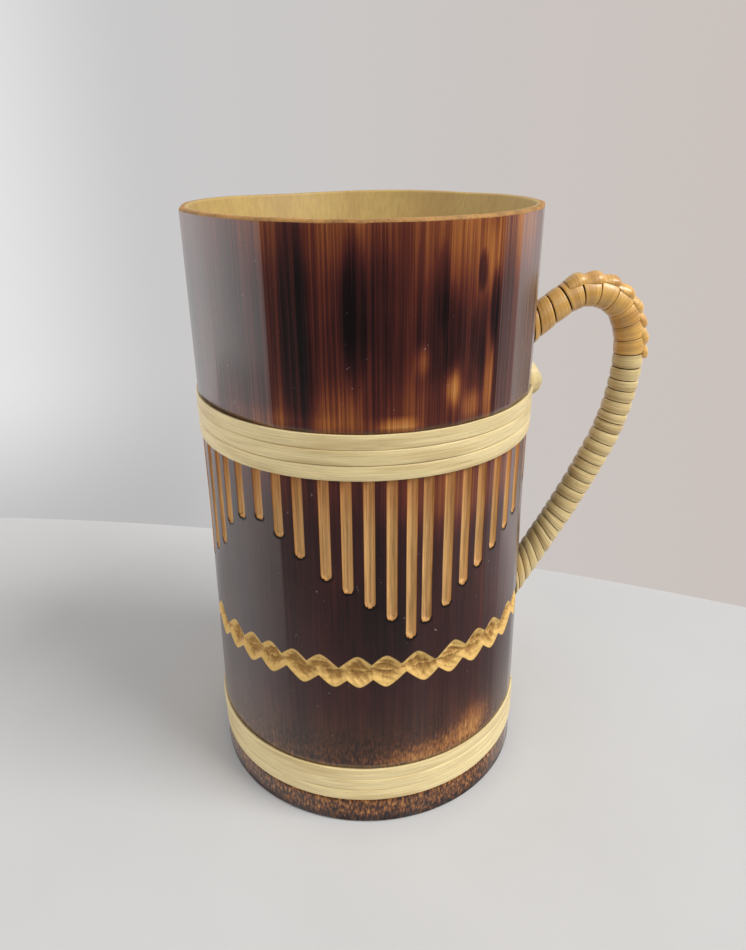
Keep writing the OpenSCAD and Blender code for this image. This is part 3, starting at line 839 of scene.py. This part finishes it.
def build_wrap(name, node, path, handle, first, last, gap, crown, material, seed):
    """A strip wound round the rod from one turn's number to another's."""
    rng = np.random.default_rng(seed)
    amber, pale, change = handle.upper_turns, handle.lower_turns, path.run * CHANGE
    clear = handle.rod_radius + WRAP_CLEARANCE + handle.wrap_thickness

    def wall_clear(slope):
        """Room along the rod that a leaning turn needs beside a wall of this slope."""
        return clear * slope * (1 - path.LEAN_SHARE) + WRAP_CLEARANCE * (1 + slope)

    start = wall_clear(math.tan(path.rise))
    stop = path.length - wall_clear(math.tan(math.pi + path.fall))
    upper, lower = (change - start) / amber, (stop - change) / pale
    rings = int((last - first) * WRAP_RINGS) + 1
    t = first + np.arange(rings) / WRAP_RINGS
    # Each turn starts a little before or after its even place
    turns = np.arange(-SPARE_TURNS, amber + pale + SPARE_TURNS + 1)
    even = start + upper * np.clip(turns, 0, amber) + lower * np.clip(turns - amber, 0, pale)
    moved = np.random.default_rng(UNEVEN_SEED).uniform(-UNEVEN, UNEVEN, len(turns)) * min(upper, lower)
    uneven = even + np.where((turns > 0) & (turns < amber + pale) & (turns != amber), moved, 0)
    # A turn lies nearly square to the rod on the near side and climbs on the far side
    ahead = t + CLIMB_HALF
    square = np.floor(ahead) - 0.5 + eased(ramp(ahead - np.floor(ahead), 0, 2 * CLIMB_HALF))
    t_even = t + SQUARENESS * (square - t)
    low, high = np.interp(t_even, turns, uneven), np.interp(t_even + 1, turns, uneven)
    parting = amber - CHANGE_BEFORE
    loose = np.interp(t, [0, LOOSE_TURNS, LOOSE_TURNS + 1, parting, parting + CHANGE_MIDDLE, parting + 1],
                      [LOOSE, LOOSE, 1, 1, CHANGE_LOOSE, 1])
    width = np.maximum(high - low - gap * loose, LEAST_WIDTH)
    section = strip_section(1.0, 1.0, crown, WRAP_BEVEL)
    side, up = section[:, 0][None, :], section[:, 1][None, :]
    across = side * width[:, None]
    thick = np.minimum(handle.wrap_thickness * (1 + drift(rng, rings, *WRAP_THIN)), handle.wrap_thickness)
    thick = thick * np.clip(width / POINTED_WIDTH, POINTED_LEAST, 1) + WRAP_UNDER
    radius = handle.rod_radius + WRAP_CLEARANCE - WRAP_UNDER + up * thick[:, None]
    radius = np.minimum(radius + drift(rng, rings, *WRAP_TILT)[:, None] * side, clear)
    turn = (math.pi / 2 - 2 * math.pi * t)[:, None]
    points = path.wrapped(((low + high) / 2)[:, None] + across, turn, radius)[:, ::-1]
    grain = grain_at((t * 2 * math.pi * clear)[:, None], across[:, ::-1], np.floor(t)[:, None] + seed)
    add_piece(name, node, [points], [material], {"grain": grain})


# Depth of the rod's ends in the wall, and its rings and the points of each
ROD_INSET = mm(3)
ROD_RINGS, ROD_POINTS = 160, 24


def build_rod(path, handle, material):
    """The bent rod, from the bottom of one socket to the bottom of the other."""
    s = np.linspace(-ROD_INSET, path.length + ROD_INSET, ROD_RINGS)[:, None]
    turn = -2 * math.pi * np.arange(ROD_POINTS)[None, :] / ROD_POINTS
    add_piece("cane_rod", "handle_rod", [path.beside(s, turn, handle.rod_radius)], [material],
              {"grain": grain_at(s, turn * handle.rod_radius, 0)})


# Shares of the amber strip's run between which the knots lie, the half angle of the ridge and its turn
RIDGE_SHARES = (0.3, 0.98)
KNOT_ANGLE = math.radians(42)
KNOT_TURN = math.radians(-12)
# A knot starts before its even place and runs under the next one, in shares of the distance between two
KNOT_BEFORE, KNOT_LENGTH = 0.12, 1.3
KNOT_ROWS, KNOT_COLUMNS = 14, 15
# Least width and height of a knot, as shares of its full ones, and the powers that round its outline, its lip
# and its section
KNOT_NECK, KNOT_LOW = 0.72, 0.15
KNOT_OUTLINE, KNOT_LIP, KNOT_SECTION = 0.7, 0.9, 3.4
# How far along it a knot reaches its full height, as a power of the share, and its full width
KNOT_CREST, KNOT_BROAD = 1.7, 1.1
# How much one knot is wider than another, and how far its crease lies off its middle
KNOT_VARIES, CREASE_OFF = 0.12, 0.2
# Radians from one knot to the next in the waves that make each a little different
WIDTH_BEAT, CREASE_BEAT = 2.4, 1.9
# The knots' underside lies this far inside the amber strip, and their tops stand this far off it
KNOT_SUNK, KNOT_LIFT = mm(0.15), mm(0.1)
# Depth of the crease between the two loops of a knot and its half width, as a share of the knot's
CREASE_DEPTH, CREASE_WIDTH = mm(0.4), 0.13
# How far the grain reaches across a knot and along the ridge, and from one knot's grain to the next
KNOT_ACROSS, KNOT_ALONG, KNOT_GRAIN = mm(2), mm(4), 3.7


def build_knots(path, handle, material):
    """Overlapping scales along the outside of the bend, each a doubled loop of the amber strip."""
    change = path.run * CHANGE
    begin, run = change * RIDGE_SHARES[0], change * (RIDGE_SHARES[1] - RIDGE_SHARES[0])
    base = handle.rod_radius + WRAP_CLEARANCE + handle.wrap_thickness - KNOT_SUNK
    share, q = np.linspace(0, 1, KNOT_ROWS), np.linspace(-1, 1, KNOT_COLUMNS)
    # A scale swells from its neck, narrows at its end, and rises to its own lip
    swell = np.sin(math.pi * np.clip(share * KNOT_BROAD, 0, 1)) ** KNOT_OUTLINE
    wide = KNOT_ANGLE * (KNOT_NECK + (1 - KNOT_NECK) * swell)
    lift = KNOT_LOW + (1 - KNOT_LOW) * np.sin(math.pi * share ** KNOT_CREST) ** KNOT_LIP
    crest = (1 - np.abs(q) ** KNOT_SECTION)[None, :] * (handle.knot_height * lift)[:, None]
    tubes, grains = [], []
    for k in range(handle.knots):
        s = begin + run * (k - KNOT_BEFORE + KNOT_LENGTH * share) / handle.knots
        s = np.clip(s, begin, begin + run)[:, None]
        off = CREASE_OFF * math.cos(CREASE_BEAT * k)
        crease = CREASE_DEPTH * np.exp(-((q - off) / CREASE_WIDTH) ** 2)[None, :]
        turn = KNOT_TURN + wide[:, None] * q[None, :] * (1 + KNOT_VARIES * math.sin(WIDTH_BEAT * k))
        top = path.wrapped(s, turn, base + crest - crease * lift[:, None] + KNOT_LIFT)
        tubes.append(np.concatenate([path.wrapped(s, turn, base)[:, ::-1], top], axis=1))
        side = np.concatenate([q[::-1], q])[None, :]
        grains.append(grain_at(side * KNOT_ACROSS, share[:, None] * KNOT_ALONG, k * KNOT_GRAIN))
    add_piece("amber_knots", "handle_knots", tubes, [material],
              {"grain": np.concatenate(grains)})


# How far the folded end swells and rises beyond its plain solid
FOLD_SWELL = mm(2.1)
FOLD_RISE = mm(1.8)
FOLD_ROWS, FOLD_COLUMNS = 24, 9
# The outer and the inner leaf of the fold: how far each swells and its half width
FOLD_LEAVES = ((mm(3.9), mm(2.3)), (mm(2.4), mm(2.6)))
# A leaf's outline is a part of a half wave: where that starts, how far it runs and the power that rounds it
LEAF_START, LEAF_SPAN, LEAF_OUTLINE = 0.1, 0.86, 0.8
# Place of the tip in shares of the leaf's height, how steeply the leaf narrows to it, and its least width
LEAF_TIP, LEAF_STEEP, LEAF_LEAST = 1.02, 3, 0.06
# Powers that move the fullest part of the swelling and round it
LEAF_CREST, LEAF_ROUND = 0.75, 0.9
# Distance of the leaves from the band, their thickness at the edges, and how much they curl
FOLD_OFF, FOLD_THICK, FOLD_CURL = mm(0.1), mm(0.3), mm(0.35)
# Depth, place and half width of the crease across a leaf
FOLD_CREASE, FOLD_CREASE_AT, FOLD_CREASE_WIDTH = mm(0.25), 0.32, 0.05


def build_fold(culm, bands, material):
    """The end of the upper band's strip, folded over into a small pointed leaf."""
    low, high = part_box("upper_band_fold")
    base = float(skin_radius(culm, bands.upper_height)) - bands.seat + bands.clearance + bands.thickness
    tall = high[2] - low[2] + FOLD_RISE
    t, q = np.linspace(0, 1, FOLD_ROWS), np.linspace(-1, 1, FOLD_COLUMNS)
    side = np.concatenate([q, q[::-1]])[None, :]
    tubes, grains = [], []
    for leaf, (swell, wide) in enumerate(FOLD_LEAVES):
        half = wide * np.sin(math.pi * np.clip(t * LEAF_SPAN + LEAF_START, 0, 1)) ** LEAF_OUTLINE
        half = half * np.clip((LEAF_TIP - t) * LEAF_STEEP, LEAF_LEAST, 1)
        out = base + FOLD_OFF + swell * np.sin(math.pi * t ** LEAF_CREST) ** LEAF_ROUND
        out = out - FOLD_CREASE * np.exp(-((t - FOLD_CREASE_AT) / FOLD_CREASE_WIDTH) ** 2)
        front = (out + FOLD_THICK)[:, None] + FOLD_CURL * (1 - q * q)[None, :]
        x = np.clip(np.concatenate([front, np.full(front.shape, base)], axis=1), base, high[0] + FOLD_SWELL)
        z = (low[2] + tall * t)[:, None]
        tubes.append(np.stack(np.broadcast_arrays(x, half[:, None] * side, z), axis=-1))
        grains.append(grain_at((t * tall)[:, None], side * wide, leaf))
    add_piece("folded_end", "upper_band_fold", tubes, [material],
              {"grain": np.concatenate(grains)})


# Materials

def fill(node, **values):
    """Sets a node's properties and fills or links its inputs, by name or, after a low line, by number.

    A colour may be given as its sRGB hex.
    """
    for key, value in values.items():
        if key == "stops":
            for _ in value[2:]:
                node.color_ramp.elements.new(0.5)
            for element, (place, tone) in zip(node.color_ramp.elements, value):
                element.position = place
                element.color = linear(tone) + [1.0]
            continue
        name = int(key[1:]) if key[0] == "_" else key.replace("_", " ")
        if isinstance(name, str) and name not in node.inputs:
            setattr(node, key, value)
        elif isinstance(value, bpy.types.NodeSocket):
            node.id_data.links.new(value, node.inputs[name])
        else:
            node.inputs[name].default_value = linear(value) + [1.0] if isinstance(value, str) else value


def add_node(tree, kind, output=0, **values):
    """Adds a node with its settings and links, and gives one of its outputs."""
    node = tree.nodes.new("ShaderNode" + kind)
    fill(node, **values)
    return node.outputs[output]


# Settings that many nodes share
BLEND = {"output": 2, "data_type": "RGBA"}
SMOOTH = {"interpolation_type": "SMOOTHSTEP"}
TIMES = {"operation": "MULTIPLY"}
PLUS = {"operation": "ADD"}
TIMES_PLUS = {"operation": "MULTIPLY_ADD"}


def layered(add, base, *layers):
    """A colour with others mixed in or multiplied over it.

    Each layer lists its blend, its pattern, where on that it starts and is full, its full share, its colour.
    """
    for blend, pattern, start, full, most, colour_over in layers:
        share = add("MapRange", **SMOOTH, Value=pattern, From_Min=start, From_Max=full, To_Max=most)
        base = add("Mix", **BLEND, blend_type=blend, _0=share, _6=base, _7=colour_over)
    return base


def product(add, *steps):
    """The product of soft steps, each a pattern, where on it that starts and is full, its least and most."""
    result = 1.0
    for pattern, start, full, least, most in steps:
        step = add("MapRange", **SMOOTH, Value=pattern, From_Min=start, From_Max=full, To_Min=least,
                   To_Max=most)
        result = add("Math", **TIMES, _0=result, _1=step)
    return result


def new_material(name):
    """A material, its shader and the function that adds nodes to it."""
    material = bpy.data.materials.new(name)
    material.use_nodes = True
    return material, material.node_tree.nodes["Principled BSDF"], partial(add_node, material.node_tree)


def shade(rgb, factor=1.0):
    """A colour property as a node's colour, made lighter or darker."""
    return [min(1.0, c * factor) for c in rgb] + [1.0]


# Skin of the culm from the blackest scorch to bare wood, as places on a ramp and sRGB colours
SCORCH_RAMP = [(0, "#0c0404"), (0.12, "#200d0e"), (0.26, "#3a1a18"), (0.42, "#5c2a20"), (0.57, "#824728"),
               (0.75, "#b27138"), (1, "#d6a96c")]
# Near the foot the scorch is thinner and the wood under it browner
FOOT_RAMP = [(0, "#140b08"), (0.2, "#2e1a13"), (0.4, "#54311e"), (0.6, "#8a572d"), (0.8, "#b57f45"),
             (1, "#cfa96c")]

# Patterns of the culm's skin: how they stretch along the culm, their size in mm, detail and roughness.
# Fibre bundles are many centimetres long and lie in strands 3 mm wide. They are about 0.3 mm wide, and are
# drawn 0.5 mm wide, because finer ones don't show at the picture's size.
SKIN_PATTERNS = {
    "fibres": (0.01, 0.55, 2, 0.6),
    "strands": (0.03, 3.2, 3, 0.6),
    "clouds": (0.4, 9, 3, 0.6),
    "dashes": (0.4, 0.6, 1, 0.5),
    "scuffs": (0.8, 1.3, 3, 0.7),
    "gouged grain": (0.03, 0.45, 3, 0.6),
    "splinters": (0.6, 0.6, 3, 0.7),
}


def scorched_lacquered_bamboo(finish):
    """Culm skin scorched over a flame, planed and lacquered.

    It gives the eye streaked dark brown under a clear gloss, and bare wood in the cuts.
    """
    material, shader, add = new_material("scorched_lacquered_bamboo")
    place = add("TexCoord", "Object")
    height = add("SeparateXYZ", "Z", Vector=place)
    fibres, strands, clouds, dashes, scuffs, grain, splinters = [
        add("TexNoise", Vector=add("Mapping", Vector=place, Scale=(1, 1, stretch)),
            Scale=1 / mm(size), Detail=detail, Roughness=roughness)
        for stretch, size, detail, roughness in SKIN_PATTERNS.values()]
    # The streaks show most above the upper band, and near the foot the scorch breaks up into short dashes
    streaked = add("MapRange", **SMOOTH, Value=height, From_Min=mm(80), From_Max=mm(108),
                   To_Min=0.12, To_Max=0.31)
    dashed = add("MapRange", **SMOOTH, Value=height, From_Min=mm(38), From_Max=mm(6), To_Max=1.35)
    lines = add("MapRange", **SMOOTH, Value=fibres, From_Min=0.32, From_Max=0.68, To_Min=-0.3, To_Max=0.3)
    tone = add("Math", **TIMES_PLUS, _0=lines, _1=streaked, _2=add("Attribute", "Fac", attribute_name="tone"))
    for pattern, strength in ((strands, streaked), (clouds, 0.2), (dashes, dashed)):
        centred = add("Math", operation="SUBTRACT", _0=pattern, _1=0.5)
        tone = add("Math", **TIMES_PLUS, _0=centred, _1=strength, _2=tone)
    # Near the foot another brown, and all over a few small scratches in the lacquer
    skin = layered(add, add("ValToRGB", Fac=tone, stops=SCORCH_RAMP),
                   ("MIX", height, mm(42), mm(22), 1, add("ValToRGB", Fac=tone, stops=FOOT_RAMP)),
                   ("MIX", scuffs, 0.71, 0.735, 0.6, "#a0938e"))
    # The chips of the chain broke out rough. They are golden at their edges and painted darker brown where
    # they are deep, as shade in their hollows
    cut = add("Attribute", "Fac", attribute_name="cut_mm")
    rough = add("MapRange", **SMOOTH, Value=splinters, From_Min=0.35, From_Max=0.7, To_Min=-0.3, To_Max=0.35)
    deep = add("MapRange", **SMOOTH, Value=cut, From_Min=0.35, From_Max=1.25)
    deep = add("Math", **PLUS, _0=deep, _1=rough)
    chip = add("Mix", **BLEND, _0=deep, _6=shade(finish.chip), _7=shade(finish.chip_shaded))
    # Wood laid open by the gouge is browner at the edge of a cut, and darkened at the tops of the flutes
    wood = layered(add, shade(finish.carved, 0.66),
                   ("MIX", grain, 0.3, 0.7, 1, shade(finish.carved, 1.22)),
                   ("MULTIPLY", cut, 0.5, 0.02, 1, "#e7cead"),
                   ("MIX", height, mm(56), mm(55), 1, chip),
                   ("MULTIPLY", height, mm(84), mm(97.5), 0.5, "#ddad8b"))
    # The groove under a band is painted dark, as shade between the band and the skin
    opened = add("MapRange", **SMOOTH, Value=cut, From_Min=-0.12, From_Max=0.04)
    seat = add("Attribute", "Fac", attribute_name="seat")
    base = add("Mix", **BLEND, _0=opened, _6=skin, _7=wood)
    base = add("Mix", **BLEND, _0=add("Math", **TIMES, _0=seat, _1=0.85), _6=base, _7="#35241a")
    # The lacquer shines more where it is seen at a slant, and not in the cuts
    slant = add("Math", **PLUS, _0=add("LayerWeight", "Facing", Blend=0.5),
                _1=add("Attribute", "Fac", attribute_name="lacquer"))
    coat = product(add, (slant, 0.16, 0.7, 0.02, 0.87), (opened, 0, 1, 1, 0.1), (seat, 0.2, 0, 0, 1))
    relief = add("Math", **TIMES_PLUS, _0=fibres, _1=0.5, _2=add("Math", **TIMES, _0=strands, _1=0.8))
    bump = add("Bump", Height=relief, Distance=mm(0.07))
    fill(shader, Base_Color=base, Normal=bump, Specular_IOR_Level=0.2, IOR=1.5,
         Roughness=add("MapRange", **SMOOTH, Value=opened, To_Min=0.42, To_Max=0.62),
         Coat_Weight=coat, Coat_IOR=2.0, Coat_Normal=bump,
         Coat_Roughness=add("MapRange", **SMOOTH, Value=fibres, From_Min=0.25, From_Max=0.75,
                            To_Min=0.12, To_Max=0.24))
    return material


def sawn_bamboo_end(finish):
    """Sawn end grain of a culm: tan, with the dark dots of its fibre bundles 0.7 mm apart."""
    material, shader, add = new_material("sawn_bamboo_end")
    place = add("TexCoord", "Object")
    dots = add("TexVoronoi", "Distance", feature="F1", Vector=place, Scale=1 / mm(0.7))
    mottle = add("TexNoise", Vector=place, Scale=1 / mm(3), Detail=3)
    base = layered(add, shade(finish.sawn, 0.7), ("MIX", mottle, 0.3, 0.7, 1, shade(finish.sawn, 1.1)),
                   ("MIX", dots, 0.38, 0.12, 0.45, shade(finish.russet)))
    fill(shader, Base_Color=base, Roughness=0.62, Normal=add("Bump", Height=dots, Distance=mm(0.08)), IOR=1.5)
    return material


def scraped_inner_wall(finish):
    """Inside of the culm, scraped and oiled: olive yellow with long faint fibres 0.8 mm apart."""
    material, shader, add = new_material("scraped_inner_wall")
    place = add("TexCoord", "Object")
    fibres = add("TexNoise", Vector=add("Mapping", Vector=place, Scale=(1, 1, 0.03)),
                 Scale=1 / mm(0.8), Detail=3, Roughness=0.6)
    cloud = add("TexNoise", Vector=add("Mapping", Vector=place, Scale=(1, 1, 0.3)),
                Scale=1 / mm(12), Detail=3)
    base = layered(add, shade(finish.inner, 0.9), ("MIX", fibres, 0.3, 0.7, 1, shade(finish.inner, 1.05)),
                   ("MIX", cloud, 0.4, 0.75, 0.35, shade(finish.bare, 0.75)))
    fill(shader, Base_Color=base, Roughness=0.5, IOR=1.5,
         Normal=add("Bump", Height=fibres, Distance=mm(0.06)))
    return material


def bamboo_node_wall(finish):
    """The node that closes the culm: a dull woody skin with cloudy patches."""
    material, shader, add = new_material("bamboo_node_wall")
    place = add("TexCoord", "Object")
    cloud = add("TexNoise", Vector=place, Scale=1 / mm(7), Detail=4)
    fine = add("TexNoise", Vector=place, Scale=1 / mm(0.8), Detail=3)
    base = layered(add, shade(finish.inner, 0.6), ("MIX", cloud, 0.3, 0.7, 1, shade(finish.inner)))
    fill(shader, Base_Color=base, Roughness=0.7, Normal=add("Bump", Height=fine, Distance=mm(0.1)), IOR=1.5)
    return material


def split_strip(name, strip, brown, line_mm, rough, coat):
    """Split strip or cane, dry or lightly polished: fine fibres along it, browner patches, a few dark lines.

    The patches are about 20 mm long and 2 mm wide. The fibres are line_mm wide, coarser than real ones so
    that they show, and 50 times as long. The grain attribute holds the place along and across in mm.
    """
    material, shader, add = new_material(name)
    grain = add("Attribute", "Vector", attribute_name="grain")
    fine = add("TexNoise", Vector=add("Mapping", Vector=grain, Scale=(0.02, 1, 1)),
               Scale=1 / line_mm, Detail=3, Roughness=0.6)
    broad = add("TexNoise", Vector=add("Mapping", Vector=grain, Scale=(0.05, 0.5, 2.3)), Scale=0.9, Detail=2)
    base = layered(add, shade(strip, 0.82), ("MIX", fine, 0.3, 0.72, 1, shade(strip, 1.1)),
                   ("MIX", broad, 0.42, 0.75, 0.8, brown),
                   ("MULTIPLY", fine, 0.36, 0.26, 0.55, "#b39c7c"))
    fill(shader, Base_Color=base, Roughness=rough, Normal=add("Bump", Height=fine, Distance=mm(0.1)),
         Coat_Weight=coat, Coat_Roughness=0.25, IOR=1.5)
    return material


def painted_board(name, tone):
    """Matt painted board with a very faint mottle."""
    material, shader, add = new_material(name)
    mottle = add("TexNoise", Vector=add("TexCoord", "Object"), Scale=1 / mm(60), Detail=3)
    base = layered(add, shade(tone, 0.98), ("MIX", mottle, 0.3, 0.7, 1, shade(tone, 1.02)))
    fill(shader, Base_Color=base, Roughness=0.85)
    return material


# Operators

class BAMBOOCUP_OT_culm(Operator):
    """Builds the carved culm, which is the cup itself"""

    bl_idname = "bamboo_cup.culm"
    bl_label = "Carved culm"

    def execute(self, context):
        scene = context.scene
        finish = scene.cup_finish
        build_culm(scene.cup_culm, scene.cup_carving, scene.cup_bands,
                   [scorched_lacquered_bamboo(finish), sawn_bamboo_end(finish), scraped_inner_wall(finish),
                    bamboo_node_wall(finish)])
        return {"FINISHED"}


class BAMBOOCUP_OT_bands(Operator):
    """Winds the two bands round the cup and folds the end of the upper one"""

    bl_idname = "bamboo_cup.bands"
    bl_label = "Wound bands"

    def execute(self, context):
        scene = context.scene
        bands, culm = scene.cup_bands, scene.cup_culm
        straw = split_strip("split_bamboo_strip", scene.cup_finish.straw, "#cdb27a",
                            line_mm=0.22, rough=0.42, coat=0.1)
        build_band("upper_strip", "upper_band", culm, bands,
                   bands.upper_height, bands.upper_lean, straw, seed=3)
        build_band("lower_strip", "lower_band", culm, bands,
                   bands.lower_height, bands.lower_lean, straw, seed=8)
        build_fold(culm, bands, straw)
        return {"FINISHED"}


class BAMBOOCUP_OT_handle(Operator):
    """Builds the bent rod of the handle, its two wound strips and the ridge of knots"""

    bl_idname = "bamboo_cup.handle"
    bl_label = "Wrapped handle"

    def execute(self, context):
        scene = context.scene
        handle, finish = scene.cup_handle, scene.cup_finish
        path = HandlePath(handle, scene.cup_culm)
        amber = split_strip("amber_cane_strip", finish.amber, "#b57f45", line_mm=0.4, rough=0.34, coat=0.5)
        pale = split_strip("pale_cane_strip", finish.pale, "#b08f58", line_mm=0.35, rough=0.4, coat=0.12)
        cane = split_strip("bent_cane_rod", linear("#4a3418"), "#332210", line_mm=0.5, rough=0.6, coat=0.0)
        build_rod(path, handle, cane)
        change, last = handle.upper_turns - 1, handle.upper_turns + handle.lower_turns
        build_wrap("amber_wrap", "handle_wrap_upper", path, handle, AMBER_START, change,
                   gap=mm(0.16), crown=0.1, material=amber, seed=1)
        build_wrap("pale_wrap", "handle_wrap_lower", path, handle, change + PALE_START,
                   last - PALE_STOP, gap=mm(0.22), crown=0.19, material=pale, seed=2)
        build_knots(path, handle, amber)
        return {"FINISHED"}


# The far edge of the table, left, middle and right, in mm from the cup's axis, the distance of its near
# edge, and its thickness
TABLE_EDGE = [(-156.4, 153.6), (15.5, 101.4), (149.0, 33.3)]
TABLE_REACH = 260
TABLE_THICKNESS = 18
# How far the curved edge runs on past those places, as shares of the angle between them, and its corners
EDGE_LEFT, EDGE_RIGHT, EDGE_CORNERS = 0.9, 0.6, 60


def circle_through(a, b, c):
    """Centre and radius of the circle through three points."""
    p, q = Vector(b) - Vector(a), Vector(c) - Vector(a)
    d = 2 * (p.x * q.y - p.y * q.x)
    x = (q.y * p.length_squared - p.y * q.length_squared) / d
    y = (p.x * q.length_squared - q.x * p.length_squared) / d
    return Vector(a) + Vector((x, y)), math.hypot(x, y)


def build_table(material):
    """A table top whose far edge curves across the picture behind the cup."""
    middle, radius = circle_through(*TABLE_EDGE)
    left, _, right = [math.atan2(y - middle.y, x - middle.x) for x, y in TABLE_EDGE]
    span = left - right
    turns = np.linspace(left + EDGE_LEFT * span, right - EDGE_RIGHT * span, EDGE_CORNERS)
    outline = [(middle.x + radius * math.cos(t), middle.y + radius * math.sin(t)) for t in turns]
    outline += [(outline[-1][0], -TABLE_REACH), (outline[0][0], -TABLE_REACH)]
    corners = len(outline)
    points = [(mm(x), mm(y), z) for z in (0, mm(-TABLE_THICKNESS)) for x, y in outline]
    faces = [tuple(range(corners))[::-1], tuple(range(corners, 2 * corners))]
    faces += [(i, (i + 1) % corners, (i + 1) % corners + corners, i + corners) for i in range(corners)]
    mesh = bpy.data.meshes.new("table")
    mesh.from_pydata(points, [], faces)
    mesh.materials.append(material)
    add_object("table", mesh)


# The soft lamp high at the right: its place, aim and size in mm, and its tint
WINDOW_PLACE, WINDOW_AIM = (2100, -1260, 2700), (0, 0, 60)
WINDOW_SIZE = 1650
WINDOW_TINT = (1, 0.985, 0.96)
# Tint of the room's bright sides
SIDE_TINT = (1, 0.94, 0.93)


def build_window(stage):
    """The soft lamp high at the right, which gives the cup and the table their soft shading."""
    lamp = bpy.data.lights.new("window", "AREA")
    lamp.energy = stage.window_power
    lamp.size = mm(WINDOW_SIZE)
    lamp.color = WINDOW_TINT
    piece = add_object("window", lamp)
    place, aim = [Vector([mm(size) for size in point]) for point in (WINDOW_PLACE, WINDOW_AIM)]
    piece.location = place
    piece.rotation_euler = (aim - place).to_track_quat("-Z", "Y").to_euler()


def build_room(stage, finish):
    """A plain room: a grey wall behind, light from high in front and from both sides, shade low in front."""
    world = bpy.data.worlds.new("room")
    world.use_nodes = True
    add = partial(add_node, world.node_tree)
    direction = add("TexCoord", "Generated")
    x, y, z = [add("SeparateXYZ", axis, Vector=direction) for axis in "XYZ"]
    # The wall is painted lighter at the left, as light falling on it, and turns warmer towards the right
    wall = layered(add, shade(finish.wall), ("MIX", x, -0.2, 0.6, 1, shade(finish.wall_right)),
                   ("MIX", x, -0.12, -0.36, 1, shade(finish.wall, 1.36)))
    # Painted shadow: the wall is darker low at the left, as the cup's shadow falls on it
    wall_shadow = product(add, (z, -0.26, -0.46, 0, 0.6), (x, 0.05, -0.36, 0, 1), (y, 0.6, 0.1, 0.6, 1))
    wall = add("Mix", **BLEND, _0=wall_shadow, _6=wall, _7="#000000")
    front = add("MapRange", **SMOOTH, Value=z, From_Min=0.02, From_Max=0.5,
                To_Min=stage.shade, To_Max=stage.front)
    room = layered(add, front, ("MIX", y, -0.25, 0.35, 1, wall),
                   ("MIX", z, 0.55, 0.9, 1, [stage.ceiling] * 3 + [1.0]))
    left = product(add, (x, -0.6, -0.74, 0, 1), (y, -0.52, -0.25, 0, 1), (z, 0.65, 0.25, 0, 1))
    right = product(add, (x, 0.62, 0.78, 0, 1), (y, -0.1, 0.15, 0, 0.6), (z, 0.65, 0.25, 0, 1))
    room = add("Mix", **BLEND, _0=add("Math", **PLUS, _0=left, _1=right), _6=room,
               _7=[stage.sides * tint for tint in SIDE_TINT] + [1.0])
    # The camera sees the plain wall on every side, while the whole room lights the cup and shines on it
    room = add("Mix", **BLEND, _0=add("LightPath", "Is Camera Ray"), _6=room, _7=wall)
    fill(world.node_tree.nodes["Background"], Color=room)
    bpy.context.scene.world = world


# Width of the camera's sensor in mm, and the nearest that it sees
SENSOR_WIDTH = 36
CLIP_START = mm(5)


def build_camera(stage):
    """The camera, at its distance from the cup's axis and turned about the cup."""
    camera = bpy.data.cameras.new("camera")
    camera.lens = stage.lens
    camera.sensor_width = SENSOR_WIDTH
    camera.sensor_fit = "AUTO"
    camera.clip_start = CLIP_START
    piece = add_object("camera", camera)
    place = (-stage.distance * math.sin(stage.turn), -stage.distance * math.cos(stage.turn), stage.height)
    piece.matrix_world = (Matrix.Translation(place)
                          @ Matrix.Rotation(-stage.turn - stage.pan, 4, "Z")
                          @ Matrix.Rotation(math.pi / 2 - stage.pitch, 4, "X")
                          @ Matrix.Rotation(stage.roll, 4, "Z"))
    bpy.context.scene.camera = piece


class BAMBOOCUP_OT_stage(Operator):
    """Sets the table, the room, the lamp and the camera"""

    bl_idname = "bamboo_cup.stage"
    bl_label = "Table, room and camera"

    def execute(self, context):
        scene = context.scene
        stage, finish = scene.cup_stage, scene.cup_finish
        build_table(painted_board("painted_table_top", finish.table))
        build_room(stage, finish)
        build_window(stage)
        build_camera(stage)
        scene.view_settings.view_transform = "Standard"
        return {"FINISHED"}


class BAMBOOCUP_PT_panel(Panel):
    """Lists the pieces of the cup and the stage"""

    bl_label = "Bamboo cup"
    bl_idname = "BAMBOOCUP_PT_panel"
    bl_space_type = "VIEW_3D"
    bl_region_type = "UI"
    bl_category = "Bamboo cup"

    def draw(self, context):
        for operator in PIECES:
            self.layout.operator(operator.bl_idname)
        for settings in SETTINGS:
            box = self.layout.box()
            group = getattr(context.scene, settings)
            for name in group.__annotations__:
                box.prop(group, name)


PIECES = (BAMBOOCUP_OT_culm, BAMBOOCUP_OT_bands, BAMBOOCUP_OT_handle, BAMBOOCUP_OT_stage)
SETTINGS = {"cup_culm": CulmSettings, "cup_carving": CarvingSettings, "cup_bands": BandSettings,
            "cup_handle": HandleSettings, "cup_finish": FinishSettings, "cup_stage": StageSettings}


def register():
    """Registers the settings, the operators and the panel."""
    for group in SETTINGS.values():
        bpy.utils.register_class(group)
    for name, group in SETTINGS.items():
        setattr(bpy.types.Scene, name, PointerProperty(type=group))
    for operator in PIECES:
        bpy.utils.register_class(operator)
    bpy.utils.register_class(BAMBOOCUP_PT_panel)


def unregister():
    """Takes them back in the opposite order."""
    bpy.utils.unregister_class(BAMBOOCUP_PT_panel)
    for operator in reversed(PIECES):
        bpy.utils.unregister_class(operator)
    for name, group in SETTINGS.items():
        delattr(bpy.types.Scene, name)
        bpy.utils.unregister_class(group)


def main():
    """Builds the cup and its stage."""
    register()
    bpy.ops.bamboo_cup.culm()
    bpy.ops.bamboo_cup.bands()
    bpy.ops.bamboo_cup.handle()
    bpy.ops.bamboo_cup.stage()


if __name__ == "__main__":
    main()
